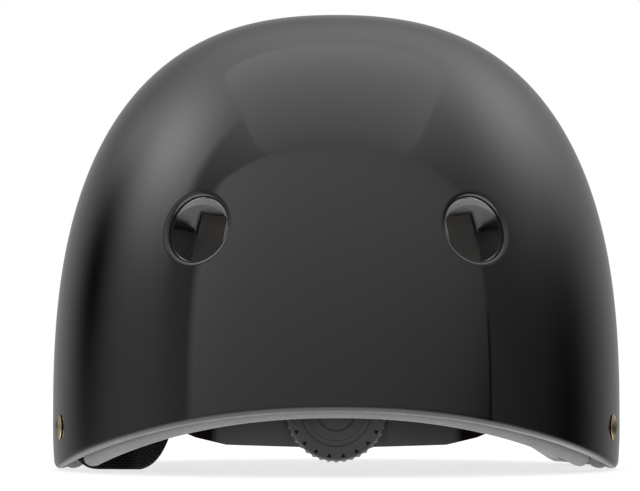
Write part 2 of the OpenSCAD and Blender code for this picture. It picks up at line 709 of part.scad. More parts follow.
module buckle_plug() {
    reach = throat_w / 2 - 0.3;
    color(plastic_black)
    buckle_frame() {
        strap_end(mouth_x + 0.4);
        translate([mouth_x + 0.2 - prong_l, -1.6, -1.2]) cube([prong_l + 2, 3.2, 2.4]);
        for (side = [-1, 1]) mirror([0, side < 0 ? 1 : 0, 0])
            translate([0, 0, -1.9]) linear_extrude(3.8)
                polygon([[mouth_x + 1, 6.4], [-5, 6], [-7.8, 6.6], [-7.8, 8.2], [-3.5, reach],
                    [-1.2, reach],
                    [-1.2, 8.6], [mouth_x + 1, 9]]);
    }
}

// Chin straps: up the wall from the dividers and round the bars of the buckle
function chin_wall(stations) = [for (q = stations)
    ring_point(0, pow(cos(q[0]), 2 / dome_n), climb_z(q[0], q[1]), q[1])];
function chin_entry() = [for (y = [divider_cross + 2.5, 15, 22]) in_divider(0, y, 0)];
bar_wrap = bar_t / 2 + 0.25 + web_t / 2;
function bar_loop(side, far_x, far_z) = [for (q = [
    [bar_out + bar_half + 3, bar_wrap], [bar_out - 1, bar_wrap], [bar_out - bar_half - 0.7, bar_wrap - 0.5],
    [bar_out - bar_half - 1.3, 0], [bar_out - bar_half - 0.7, 0.5 - bar_wrap], [bar_out - 1, -bar_wrap],
    [bar_out + bar_half + 3, -bar_wrap], [far_x, far_z]]) buckle_point(side * q[0], q[1])];

module chin_ribbon(route) {
    path = smooth(route, 2);
    color(web_black) ribbon(path, [for (p = path) [0, 1, 0]]);
}
chin_start = climb(divider_z + 5, divider_in);
module chin_strap_right() {
    chin_ribbon(concat(chin_entry(),
        chin_wall([[chin_start + 16, strap_in + 1], [chin_start + 22, strap_in + 1.6],
            [chin_start + 28, strap_in + 5]]),
        bar_loop(1, bar_out + 13, -4.6)));
}
module chin_strap_left() {
    route = concat(chin_entry(),
        chin_wall([[chin_start + 16, strap_in + 0.8], [chin_start + 24, strap_in + 0.6],
            [chin_start + 33, strap_in + 1.2], [chin_start + 42, strap_in + 3.4],
                [chin_start + 47.5, strap_in + 6]]));
    chin_ribbon(concat([for (p = route) [-p[0], p[1], p[2]]], bar_loop(-1, bar_out + 12, -4.4)));
}

// Rubber loop that holds the strap's free end
keeper_at = 22;
module tail_keeper() {
    place = chin_wall([[chin_start + keeper_at, strap_in + 1.9]])[0];
    next = chin_wall([[chin_start + keeper_at + 1, strap_in + 2.25]])[0];
    color(pad_black)
    translate(place) aim(next - place)
        difference() {
            cube([web_t + 2.8, web_w + 3, 5], center = true);
            cube([web_t + 1.6, web_w + 0.8, 8], center = true);
        }
}

// Fit band: rack ends that run through the yoke round the back of the head
band_y = band_r - band_back;
rack_pitch = 180 * gear_m / band_r;
pinion_r = gear_m * pinion_n / 2;
tooth_top = 0.85 * gear_m;
tooth_root = 1.1 * gear_m;
flank = 25;
rack_back = 2.4;
tooth_inset = 0.08;
feed = dial_turn * pinion_r / band_r;
strip_end = 5;
strip_join = feed + strip_end + 14;
channel = 0.4;

// Slice of a ring round the back of the head, measured in degrees from the rear to the +X side
module back_arc(r1, r2, z1, z2, from, to) {
    translate([0, band_y, 0]) rotate([0, 0, from - 90]) rotate_extrude(angle = to - from, $fn = 180)
        translate([r1, z1]) square([r2 - r1, z2 - z1]);
}

// Rack tooth that points up from the pitch line at the origin
module rack_tooth() {
    half = PI * gear_m / 4 - gear_play / 4;
    low = half + tooth_root * tan(flank);
    top = half - tooth_top * tan(flank);
    polygon([[-low, -tooth_root - 0.2], [low, -tooth_root - 0.2], [low, -tooth_root], [top, tooth_top],
        [-top, tooth_top], [-low, -tooth_root]]);
}

// Band of the right side, with its rack below the pinion
module rack_band_right() {
    r1 = band_r - band_t / 2;
    r2 = band_r + band_t / 2;
    root_z = dial_z - pinion_r - tooth_root;
    low_z = root_z - rack_back;
    first = -strip_end / rack_pitch;
    color(plastic_black) {
        difference() {
            union() {
                difference() {
                    back_arc(r1, r2, low_z, dial_z + band_h / 2, -strip_end, 90);
                    back_arc(r1 - 1, r2 + 1, root_z, dial_z + band_h, -strip_end - 1, strip_join);
                    back_arc(r1 - 1, r2 + 1, low_z - 1, dial_z - band_h / 2, strip_join + 3, 91);
                }
                for (k = [ceil(first) : floor((feed + strip_end) / rack_pitch)])
                    translate([0, band_y, dial_z - pinion_r]) rotate([0, 0, (k + 0.5) * rack_pitch])
                        translate([0, -r1 - tooth_inset, 0]) rotate([90, 0, 0])
                            linear_extrude(band_t - 2 * tooth_inset) rack_tooth();
            }
            for (a = [strip_join + 24 : 7 : 84])
                translate([0, band_y, dial_z]) rotate([90, 0, a]) cylinder(r = 1.6, h = far, $fn = 24);
        }
    }
}

// The left band is the right one turned half round, so that its rack lies above the pinion
module rack_band_left() {
    translate([0, 0, 2 * dial_z]) rotate([0, 180, 0]) rack_band_right();
}

// Temple arm, from the end of its band forward and up to the anchor pin
arm_gap = 0.6;
tongue = 10;
eye_r = 7;
module temple_arm_right() {
    low = dial_z - band_h / 2;
    high = dial_z + band_h / 2;
    start = band_y + arm_gap;
    color(plastic_black)
    difference() {
        union() {
            translate([arm_x - band_t / 2, 0, 0]) rotate([90, 0, 90]) linear_extrude(band_t)
                union() {
                    polygon([[start, low], [pin_y - 4 * eye_r, low], [pin_y - 16, low + 1.5],
                        [pin_y + 3, pin_z - eye_r + 0.6], [pin_y, pin_z + eye_r], [pin_y - 10, high + 5],
                        [pin_y - 24, high + 0.6], [pin_y - 36, high], [start, high]]);
                    translate([pin_y, pin_z]) circle(r = eye_r, $fn = 64);
                }
            translate([arm_x + band_t / 2 - 0.4, start, low + 1]) cube([1.5, tongue + 2, band_h - 2]);
            translate([arm_x + band_t / 2 + 0.1, start - tongue + 1.4, low + 1])
                cube([1, tongue, band_h - 2]);
        }
        translate([arm_x - 5, pin_y, pin_z]) rotate([0, 90, 0])
            cylinder(r = pin_r + run_gap, h = 10, $fn = 48);
        for (y = [-14 : 10 : 6]) translate([arm_x - 5, y, dial_z]) rotate([0, 90, 0])
            cylinder(r = 2.2, h = 10, $fn = 32);
    }
}
module temple_arm_left() {
    mirror([1, 0, 0]) temple_arm_right();
}

// Yoke: a curved housing outside the bands and a cover inside them
yoke_span = 42;
yoke_wall = 2;
yoke_half = 12.5;
yoke_flat = 38;
yoke_reach = 56;
yoke_tip = 6.5;
yoke_low = dial_z - yoke_half;
yoke_high = dial_z + yoke_half;
pocket_in = band_r - band_t / 2 - channel;
pocket_out = band_r + band_t / 2 + channel;
seat_y = band_y - pocket_out - 3.6;
shaft_r = 4;
screw_x = 17;
screw_r = 1.1;
screw_head_r = 2.4;
boss_r = 2.6;
seat_r = 13;
channel_half = 11;
yoke_seam = 0.2;
module yoke_outline() {
    half = [[yoke_flat, yoke_half], [yoke_reach, yoke_tip], [yoke_reach, -yoke_tip],
        [yoke_reach - 7, 3.3 - yoke_half], [yoke_flat, 0.9 - yoke_half], [0, -yoke_half]];
    translate([0, 0, dial_z]) rotate([90, 0, 0]) linear_extrude(far / 2)
        polygon(concat(half, [for (k = [len(half) - 2 : -1 : 0]) [-half[k][0], half[k][1]]]));
}

module yoke_housing() {
    color(plastic_grey)
    difference() {
        intersection() {
            union() {
                back_arc(pocket_in + yoke_seam, pocket_out + yoke_wall, yoke_low, yoke_high,
                    -yoke_span, yoke_span);
                translate([0, seat_y, dial_z]) rotate([-90, 0, 0]) cylinder(r = seat_r, h = 4.5, $fn = 64);
            }
            yoke_outline();
        }
        difference() {
            back_arc(pocket_in - 3, pocket_out, dial_z - channel_half, dial_z + channel_half,
                -yoke_span - 1, yoke_span + 1);
            for (x = [-screw_x, screw_x])
                translate([x, band_y - pocket_out - 4, dial_z]) rotate([-90, 0, 0])
                    cylinder(r = boss_r, h = 12, $fn = 32);
        }
        back_arc(pocket_in - 9, pocket_in + yoke_seam, yoke_low - 1, yoke_high + 1, -yoke_span - 2,
            yoke_span + 2);
        translate([0, seat_y - 5, dial_z]) rotate([-90, 0, 0])
            cylinder(r = shaft_r + run_gap, h = 12, $fn = 48);
        for (x = [-screw_x, screw_x])
            translate([x, band_y - pocket_out - 1, dial_z]) rotate([-90, 0, 0])
                cylinder(r = screw_r + 0.05, h = 8, $fn = 24);
    }
}

cover_t = 1.8;
screw_seat = band_y - sqrt(pow(pocket_in - cover_t, 2) - screw_x * screw_x);
module yoke_cover() {
    color(plastic_black)
    difference() {
        intersection() {
            back_arc(pocket_in - cover_t, pocket_in, yoke_low, yoke_high, -yoke_span, yoke_span);
            yoke_outline();
        }
        translate([0, band_y - pocket_in - 2, dial_z]) rotate([-90, 0, 0])
            cylinder(r = 3 + run_gap, h = 12, $fn = 48);
        for (x = [-screw_x, screw_x]) {
            translate([x, band_y - pocket_in - 2, dial_z]) rotate([-90, 0, 0])
                cylinder(r = 1.25, h = 12, $fn = 24);
            translate([x, screw_seat - 0.05, dial_z]) rotate([-90, 0, 0])
                cylinder(r = screw_head_r + 0.15, h = 6, $fn = 32);
        }
    }
}

// Screws from the cover into the housing
module yoke_screws() {
    color(steel)
    for (x = [-screw_x, screw_x])
        translate([x, screw_seat + 1, dial_z]) rotate([90, 0, 0]) {
            difference() {
                cylinder(r = screw_head_r, h = 1, $fn = 32);
                translate([0, 0, -0.3]) for (a = [0, 90]) rotate([0, 0, a])
                    translate([-1.4, -0.3, 0]) cube([2.8, 0.6, 0.8]);
            }
            cylinder(r = screw_r, h = 5.6, $fn = 24);
        }
}

// Pads on the yoke, either side of the dial's pinion
nape_t = 4.5;
nape_start = asin((screw_x + screw_head_r + 1) / (pocket_in - cover_t));
nape_span = 23;
module nape_pads() {
    nu = 8;
    nv = 6;
    spots = [for (j = [0 : nv]) for (i = [0 : nu]) squircle(i / nu, j / nv)];
    grid = [for (j = [0 : nv]) for (i = [0 : nu]) [i / nu, j / nv]];
    function spot(s, r) =
        let (a = nape_start + nape_span * s[0])
        [r * sin(a), band_y - r * cos(a), dial_z - 8 + 16 * s[1]];
    outer = [for (s = spots) spot(s, pocket_in - cover_t - 0.3)];
    inner = [for (k = [0 : len(spots) - 1])
        spot(spots[k], pocket_in - cover_t - 0.3 - nape_t * swell(grid[k][0], grid[k][1]))];
    color(pad_black)
    for (flip = [0, 1]) mirror([flip, 0, 0]) quilt(outer, inner, nu, nv);
}

// Pinion: involute teeth in the band's channel, and a shaft that carries the dial
pin_front = band_y - pocket_in - 0.2;
pinion_t = 2.1;
function inv(a) = tan(a) * 180 / PI - a;
base_r = pinion_r * cos(flank);
function tooth_half(r) =
    let (a = acos(min(1, base_r / r)))
    (PI * gear_m / 4 - gear_play / 4) / pinion_r * 180 / PI + inv(flank) - inv(a);
module pinion_outline() {
    top_r = pinion_r + 0.85 * gear_m;
    root_r = pinion_r - 1.15 * gear_m;
    radii = [for (k = [0 : 4]) base_r + (top_r - base_r) * k / 4];
    polygon([for (i = [0 : pinion_n - 1])
        let (c = 360 * i / pinion_n)
        each concat(
            [root_r * [sin(c - tooth_half(base_r)), cos(c - tooth_half(base_r))]],
            [for (r = radii) r * [sin(c - tooth_half(r)), cos(c - tooth_half(r))]],
            [for (k = [4 : -1 : 0]) let (r = radii[k]) r * [sin(c + tooth_half(r)),
                cos(c + tooth_half(r))]],
            [root_r * [sin(c + tooth_half(base_r)), cos(c + tooth_half(base_r))]])]);
}
hub_r = 2.4;
dial_front = seat_y - 0.3;
module dial_pinion() {
    color(plastic_black)
    difference() {
        translate([0, pin_front, dial_z]) rotate([90, 0, 0]) {
            linear_extrude(pinion_t) pinion_outline();
            translate([0, 0, -1.8]) cylinder(r = 3, h = 2, $fn = 48);
            translate([0, 0, pinion_t])
                cylinder(r = shaft_r, h = pin_front - pinion_t - dial_front, $fn = 48);
            translate([-hub_r, -hub_r, pinion_t])
                cube([2 * hub_r, 2 * hub_r, pin_front - pinion_t - dial_front + 4]);
        }
        translate([0, pin_front + 5, dial_z]) rotate([90, 0, 0]) cylinder(r = 1.3, h = 30, $fn = 24);
        translate([0, pin_front + 1, dial_z]) rotate([90, 0, 0]) translate([0, 0, -3])
            cylinder(r = 2.2, h = 3.4, $fn = 32);
    }
}

// Dial: a dished face, grip teeth, a ring of marks and a ring of click teeth inside
click_r = 13.6;
click_n = 24;
module dial_knob() {
    grip = [for (k = [0 : 4 * dial_teeth - 1])
        let (a = 90 * k / dial_teeth)
        let (r = dial_r - dial_tooth_h * [0, 0.35, 1, 0.35][k % 4])
        r * [sin(a), cos(a)]];
    clicks = [for (k = [0 : 2 * click_n - 1])
        let (a = 180 * k / click_n)
        (click_r - (k % 2) * 0.9) * [sin(a), cos(a)]];
    color(plastic_grey)
    translate([0, dial_front, dial_z]) rotate([90, 0, 0])
        difference() {
            union() {
                translate([0, 0, 1]) linear_extrude(dial_t - 1.8) polygon(grip);
                cylinder(r = dial_r - dial_tooth_h - 0.4, h = dial_t, $fn = 96);
            }
            translate([0, 0, -1]) linear_extrude(4) polygon(clicks);
            translate([0, 0, dial_t - 0.7]) cylinder(r = 11.4, h = 2, $fn = 64);
            difference() {
                translate([0, 0, dial_t - 1.4]) cylinder(r = 9.4, h = 2, $fn = 64);
                translate([0, 0, dial_t - 1.4]) cylinder(r1 = 6.4, r2 = 5.8, h = 2, $fn = 64);
            }
            for (k = [0 : dial_marks - 1]) rotate([0, 0, 360 * (k + 0.5) / dial_marks])
                translate([15, 0, dial_t - 0.6]) rotate([0, 0, 180]) cylinder(r = 1, h = 2, $fn = 3);
            translate([-hub_r - 0.1, -hub_r - 0.1, -1]) cube([2 * hub_r + 0.2, 2 * hub_r + 0.2, 5.2]);
            cylinder(r = 1.1, h = 7.2, $fn = 24);
        }
}

// Screw that holds the dial on the pinion's square end
module dial_screw() {
    color(steel)
    translate([0, pin_front + 1.8, dial_z]) rotate([90, 0, 0]) {
        difference() {
            cylinder(r = 2.1, h = 1.1, $fn = 32);
            translate([-1.5, -0.3, -0.4]) cube([3, 0.6, 0.9]);
        }
        cylinder(r = 1.1, h = 13, $fn = 24);
    }
}

// Leaf spring on the seat whose two fingers rest in the dial's click teeth
module click_spring() {
    color(steel)
    translate([0, seat_y, dial_z]) rotate([90, 0, 0])
        difference() {
            union() {
                cylinder(r = 8, h = 0.8, $fn = 48);
                for (a = [0, 180]) rotate([0, 0, a]) {
                    translate([-1.2, 0, 0]) cube([2.4, 11, 0.8]);
                    translate([0, 11, 0]) cylinder(r = 1.4, h = 2.2, $fn = 32);
                }
            }
            translate([0, 0, -1]) cylinder(r = shaft_r + 0.4, h = 4, $fn = 48);
        }
}

outer_shell();
eps_liner();
brow_pad();
front_pad_left();
front_pad_right();
rear_pad_left();
rear_pad_right();
crown_pad();
pad_fasteners();
strap_rivets();
rivet_washers();
anchor_sockets();
anchor_pins();
front_strap_left();
rear_strap_left();
front_strap_right();
rear_strap_right();
strap_divider_left();
strap_divider_right();
chin_strap_left();
chin_strap_right();
buckle_socket();
buckle_plug();
tail_keeper();
temple_arm_left();
temple_arm_right();
yoke_housing();
yoke_cover();
yoke_screws();
click_spring();
nape_pads();
dial_knob();
dial_pinion();
dial_screw();
rack_band_left();
rack_band_right();
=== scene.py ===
"""Looks of the BMX helmet: glossy shell, foam liner, pads, webbing, buckle and fit dial."""

import math

import bmesh
import bpy
import numpy as np
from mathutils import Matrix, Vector
from mathutils.geometry import delaunay_2d_cdt


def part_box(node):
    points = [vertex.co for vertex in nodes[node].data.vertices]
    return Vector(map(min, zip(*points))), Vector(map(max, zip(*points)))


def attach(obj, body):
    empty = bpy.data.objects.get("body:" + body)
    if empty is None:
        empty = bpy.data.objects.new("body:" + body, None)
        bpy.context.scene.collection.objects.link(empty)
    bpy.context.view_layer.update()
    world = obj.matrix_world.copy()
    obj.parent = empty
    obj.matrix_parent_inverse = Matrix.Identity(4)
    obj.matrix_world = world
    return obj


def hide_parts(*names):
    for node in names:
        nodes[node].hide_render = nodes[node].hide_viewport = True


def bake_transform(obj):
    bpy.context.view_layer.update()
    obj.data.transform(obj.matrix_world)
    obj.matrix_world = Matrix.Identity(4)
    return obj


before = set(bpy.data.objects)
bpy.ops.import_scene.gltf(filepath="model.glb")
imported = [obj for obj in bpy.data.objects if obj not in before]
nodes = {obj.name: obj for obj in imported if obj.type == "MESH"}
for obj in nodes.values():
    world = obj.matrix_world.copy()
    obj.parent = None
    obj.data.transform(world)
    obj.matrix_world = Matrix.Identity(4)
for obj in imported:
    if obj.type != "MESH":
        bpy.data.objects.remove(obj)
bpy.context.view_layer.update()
MM = 0.001

# Dome, vents, liner, rivets and pocket, in millimetres
DOME_A, DOME_B, DOME_C = 107.0, 136.0, 151.5
EQUATOR, TUCK = 20.0, 92.0
DOME_N, PLAN_N, EGG = 2.56, 2.2, 0.02
SHELL_T = 3.0
REAR_RISE, FRONT_RISE = 21.8, 28.0
FLAT_REAR, FLAT_FRONT = 9.0, 42.0
REAR_CURVE, FRONT_CURVE = 2.2, 1.4
VENT_R, VENT_LIP, VENT_ROLL, VENT_SEGMENTS = 11.5, 13.7, 2.1, 72
REAR_VENT, FRONT_VENT = (48.0, 84.5), (36.0, 82.0)
TOP_VENT_X, TOP_VENT_Y = 32.0, (2.0, 56.0)
LINER_OUT, LINER_IN = 3.3, 20.3
LINER_VENT_R, LINER_BORE_R, BORE_MEET = 10.6, 10.8, 880.0
RIVET_Z = 16.0
REAR_RIVET_T, FRONT_RIVET_T = 23.0, 9.5
RIVET_R, RIVET_HEAD, RIVET_H = 2.0, 4.5, 1.5
NOTCH_TOP, NOTCH_W, NOTCH_ROUND = 23.5, 38.0, 6.0
POCKET_BACK, POCKET_DEPTH, POCKET_R, POCKET_TOP = 126.0, 60.0, 21.3, 33.0

# Rims as they show: the shell's roll, and how far the liner's strip hangs below it and clears the ground
RIM_ROLL, RIM_TURN, TRIM_HEIGHT = 2.6, 0.6, 0.75
LINER_DROP, LINER_DROP_LOW, LINER_CLEAR = 2.0, 1.8, 0.6
# How high above the liner's rim and how deep under its outside the darker foam of the strip reaches, which is
# painted shade
STRIP_HEIGHT, STRIP_DEPTH = 12.0, 8.0

# Webbing, strap dividers and buckle
WEB_W, WEB_T, WEB_GAP = 18.0, 1.6, 0.7
WEB_SEEN_W, WEB_SEEN_T = 17.7, 1.35
STRAP_IN = LINER_IN + WEB_GAP + WEB_T / 2
TAB_MID = SHELL_T + 1.1 + WEB_T / 2
DIVIDER_Z, DIVIDER_T, DIVIDER_LEAN, DIVIDER_CROSS = 70.0, 5.6, 34.0, 5.0
DIVIDER_IN = LINER_IN + 2.4 + DIVIDER_T / 2
LAYER = WEB_T / 2 + 0.15
BUCKLE_X, BUCKLE_Z, BUCKLE_TILT = 14.0, 132.5, 12.0
BAR_OUT, BAR_HALF = 21.7, 2.3
BAR_WRAP = 1.2 + 0.25 + WEB_T / 2

# Pads: section, then plan angles and heights on the wall, then the crown's and the nape's
PAD_GAP, PAD_T, PAD_FLANGE = 2.0, 7.0, 1.0
RISE_IN, RISE_WIDE, CROWNING = 2.6, 6.5, 0.14
WELD_IN, WELD_WIDE, WELD_DEEP = 1.7, 0.5, 0.35
CHANNEL_WIDE, CHANNEL_SHARE = 1.7, 0.8
BROW, FRONT_PAD, REAR_PAD = (42, 138, 40, 68), (16, 42, 72, 98), (-42, -20, 64, 94)
CROWN_HALF, CROWN_Y, CROWN_SIZE = 16.0, (-52.0, 40.0), (94, 34)
NAPE_R, NAPE_START, NAPE_SPAN, NAPE_T, NAPE_HALF = 75.0, 15.7, 23.0, 4.5, 8.0

# Fit band's centre and dial
BAND_Y, DIAL_Z = -28.0, 22.0
DIAL_FRONT, DIAL_T, DIAL_TEETH, TOOTH_POINTS = -111.8, 9.5, 40, 8
DIAL_MARKS, MARK_R, MARK_DEEP, MARK_THICK = 20, 15.1, 0.8, 0.2

# Merging distances in metres, then the softened edges' angles in degrees
MERGE, PAD_MERGE, FLAT_ANGLE, EDGE_ANGLE, SMOOTH_ANGLE = 2e-6, 2e-5, 0.6, 38, 32

# Camera: metres, degrees and millimetres of film
CAMERA_PLACE, CAMERA_TILT = (0, -1.0, 0.0277), 3.29
FILM, LENS, SHIFT = 36.0, 145.98, -16.3 / 640


def spow(value, power):
    """Power that keeps the sign."""
    return np.sign(value) * np.abs(value) ** power


def girth(z, inset):
    """Share of the full plan width that is left at height z."""
    z = np.asarray(z, float)
    high = np.clip((z - EQUATOR) / (DOME_C - inset), 0, 1) ** DOME_N
    low = np.clip((EQUATOR - z) / TUCK, 0, 1) ** DOME_N
    return np.maximum(0, 1 - np.where(z >= EQUATOR, high, low)) ** (1 / DOME_N)


def ring_point(t, share, z, inset):
    """Point of the dome, drawn in by inset, at plan angle t in degrees."""
    a = np.radians(t)
    y = (DOME_B - inset) * spow(np.sin(a), 2 / PLAN_N) * share
    narrow = 1 - EGG * y / DOME_B
    x = (DOME_A - inset) * spow(np.cos(a), 2 / PLAN_N) * share * narrow
    return np.stack(np.broadcast_arrays(x, y, z), -1)


def dome_point(t, z, inset):
    return ring_point(t, girth(z, inset), z, inset)


def plan_level(x, y, inset):
    """How (x, y) lies to the plan drawn in by inset: 1 on its outline, and less within."""
    narrow = 1 - EGG * y / DOME_B
    return (np.abs(x) / (DOME_A - inset) / narrow) ** PLAN_N + (np.abs(y) / (DOME_B - inset)) ** PLAN_N


def dome_top(x, y, inset):
    """Height of the dome drawn in by inset, over (x, y)."""
    share = plan_level(x, y, inset) ** (DOME_N / PLAN_N)
    return EQUATOR + (DOME_C - inset) * (1 - share) ** (1 / DOME_N)


def dome_level(p, inset):
    """Zero on the dome drawn in by inset, and positive outside it."""
    x, y, z = p[..., 0], p[..., 1], p[..., 2]
    depth = np.where(z >= EQUATOR, DOME_C - inset, TUCK)
    return plan_level(x, y, inset) ** (DOME_N / PLAN_N) + (np.abs(z - EQUATOR) / depth) ** DOME_N - 1


def dome_normal(p, inset):
    """Outward direction of the dome at points p on it."""
    step = 0.01
    grad = [dome_level(p + step * e, inset) - dome_level(p - step * e, inset) for e in np.eye(3)]
    grad = np.stack(grad, -1)
    return grad / np.linalg.norm(grad, axis=-1, keepdims=True)


def climb(z, inset):
    """How far up its profile the dome is at height z, in degrees."""
    z = np.asarray(z, float)
    high = np.degrees(np.arcsin((np.clip(z - EQUATOR, 0, None) / (DOME_C - inset)) ** (DOME_N / 2)))
    low = -np.degrees(np.arcsin((np.clip(EQUATOR - z, 0, None) / TUCK) ** (DOME_N / 2)))
    return np.where(z >= EQUATOR, high, low)


def climb_point(t, angle, inset):
    """Point of the dome at plan angle t and an angle up its profile, as climb gives it."""
    angle = np.radians(angle)
    rise = np.where(angle >= 0, DOME_C - inset, -TUCK) * np.sin(np.abs(angle)) ** (2 / DOME_N)
    return ring_point(t, np.cos(angle) ** (2 / DOME_N), EQUATOR + rise, inset)


def rim_z(t):
    """Height of the shell's rim at plan angle t."""
    y = DOME_B * spow(np.sin(np.radians(t)), 2 / PLAN_N)
    rear = REAR_RISE * (np.clip(-y - FLAT_REAR, 0, None) / (DOME_B - FLAT_REAR)) ** REAR_CURVE
    front = FRONT_RISE * (np.clip(y - FLAT_FRONT, 0, None) / (DOME_B - FLAT_FRONT)) ** FRONT_CURVE
    return rear + front


def liner_rim_z(t):
    rim = rim_z(t)
    low = LINER_DROP + LINER_DROP_LOW * np.clip(1 - rim / REAR_RISE, 0, None)
    return np.maximum(LINER_CLEAR, rim - low)


def frame_of(out):
    """Level and upward directions square to out."""
    out = np.asarray(out, float)
    level = np.cross([0, 0, 1], out)
    level = level / np.linalg.norm(level) if np.linalg.norm(level) > 1e-6 else np.array([1.0, 0, 0])
    return level, np.cross(out, level)


def wall_vent(side):
    """Centre of the rear (-1) or front (1) vent at the right."""
    x, z = REAR_VENT if side < 0 else FRONT_VENT
    share = float(girth(z, 0))
    t = side * math.degrees(math.acos((x / DOME_A / share / (1 - side * EGG * 0.85)) ** (PLAN_N / 2)))
    return dome_point(t, z, 0)


def both_sides(spots):
    """Each spot at the right and then at the left, with the dome's outward direction there."""
    found = []
    for spot in spots:
        for flip in (1, -1):
            centre = spot * [flip, 1, 1]
            found.append((centre, dome_normal(centre, 0)))
    return found


TOP_VENTS = [np.array([TOP_VENT_X, y, dome_top(TOP_VENT_X, y, 0)]) for y in TOP_VENT_Y]
VENTS = both_sides([wall_vent(-1), wall_vent(1)] + TOP_VENTS)
RIVETS = both_sides([dome_point(t, RIVET_Z, 0) for t in (-REAR_RIVET_T, FRONT_RIVET_T)])


def fall(points, axis, inset):
    """How far each point moves along axis to reach the dome drawn in by inset."""
    step, rounds = 0.01, 30
    h = np.zeros(len(points))
    for _ in range(rounds):
        p = points + h[:, None] * axis
        here = dome_level(p, inset)
        slope = (dome_level(p + step * axis, inset) - here) / step
        h = h - here / slope
    return h


# Mesh helpers


def placed(name, data):
    obj = bpy.data.objects.new(name, data)
    bpy.context.scene.collection.objects.link(obj)
    return obj


def new_object(name, verts, faces, material=None, smooth=True):
    mesh = bpy.data.meshes.new(name)
    mesh.from_pydata([tuple(v) for v in np.asarray(verts) * MM], [], [tuple(f) for f in faces])
    mesh.validate()
    mesh.update()
    if smooth:
        mesh.polygons.foreach_set("use_smooth", [True] * len(mesh.polygons))
    if material:
        mesh.materials.append(material)
    return placed(name, mesh)


def apply_modifiers(obj):
    dg = bpy.context.evaluated_depsgraph_get()
    mesh = bpy.data.meshes.new_from_object(obj.evaluated_get(dg))
    obj.modifiers.clear()
    obj.data = mesh


def strip(low, high, flip=False, wrap=True):
    """Quads between two rows of vertex numbers."""
    faces = []
    for i in range(len(low) if wrap else len(low) - 1):
        k = (i + 1) % len(low)
        faces.append([low[k], low[i], high[i], high[k]] if flip else [low[i], low[k], high[k], high[i]])
    return faces


def grid_faces(rows, cols, start=0, flip=False, wrap=True):
    faces = []
    for low in range(start, start + (rows - 1) * cols, cols):
        faces += strip(range(low, low + cols), range(low + cols, low + 2 * cols), flip, wrap)
    return faces


def tube(rows, cols, flip=False):
    """Faces of a closed solid made of rings of points, with flat ends."""
    ends = [list(range(cols))[::-1], list(range((rows - 1) * cols, rows * cols))]
    return [f[::-1] if flip else f for f in grid_faces(rows, cols) + ends]


def face_out(obj, merge=None):
    """Turns a closed mesh's faces outwards. Points within merge metres of each other are joined first."""
    bm = bmesh.new()
    bm.from_mesh(obj.data)
    if merge:
        bmesh.ops.remove_doubles(bm, verts=bm.verts, dist=merge)
        bmesh.ops.recalc_face_normals(bm, faces=bm.faces)
    if bm.calc_volume(signed=True) < 0:
        bmesh.ops.reverse_faces(bm, faces=bm.faces)
    bm.to_mesh(obj.data)
    bm.free()


def spokes_round(axis, count):
    """Unit vectors square to axis, evenly round it."""
    level, up = frame_of(axis)
    turn = np.arange(count) * 2 * np.pi / count
    return np.cos(turn)[:, None] * level + np.sin(turn)[:, None] * up


def border(patch):
    """Closed loop of vertex numbers round a patch of faces."""
    used = dict.fromkeys((a, b) for f in patch for a, b in zip(f, f[1:] + f[:1]))
    after = {b: a for a, b in used if (b, a) not in used}
    loop = [next(iter(after))]
    while after[loop[-1]] != loop[0]:
        loop.append(after[loop[-1]])
    return loop


def vent_opening(verts, faces, centre, axis, inset, reach, rings, flip):
    """Cuts a round hole in a dome's face list and fills up to it with triangles and then with rings.

    rings lists (radius, depth under the dome) from the triangles inwards. Faces within reach are cut.
    """
    level, up = frame_of(axis)
    behind, on_ring, inside_constraints = -25, 0.998, 1
    pts = np.array(verts)
    rel = pts - centre
    along = rel @ axis
    away = np.linalg.norm(rel - along[:, None] * axis, axis=1)
    near = (away < reach) & (along > behind)
    kept, cut = [], []
    for f in faces:
        (cut if any(near[i] for i in f) else kept).append(f)
    loop = border(cut)
    count = VENT_SEGMENTS
    spokes = spokes_round(axis, count)
    radius = rings[0][0]
    ring = centre + radius * spokes
    ring = ring + fall(ring, axis, inset)[:, None] * axis
    flat = [Vector(((p - centre) @ level, (p - centre) @ up)) for p in [pts[i] for i in loop] + list(ring)]
    n = len(loop)
    edges = [(i, (i + 1) % n) for i in range(n)] + [(n + i, n + (i + 1) % count) for i in range(count)]
    spots, _, triangles, sources, _, _ = delaunay_2d_cdt(flat, edges, [], inside_constraints, 1e-6)
    rows = [range(len(verts), len(verts) + count)]
    verts.extend(ring)
    places = loop + list(rows[0])
    number = [places[source[0]] for source in sources]
    for tri in triangles:
        a, b, c = (spots[i] for i in tri)
        if (a + b + c).length / 3 > radius * on_ring:
            anti = (b - a).cross(c - a) > 0
            tri = [number[i] for i in tri]
            kept.append(tri if anti != flip else tri[::-1])
    for r, depth in rings[1:]:
        p = centre + r * spokes
        p = p + (fall(p, axis, inset) - depth)[:, None] * axis
        rows.append(range(len(verts), len(verts) + count))
        verts.extend(p)
        kept += strip(rows[-2], rows[-1], flip)
    return kept, rows[-1]


# Shell and liner


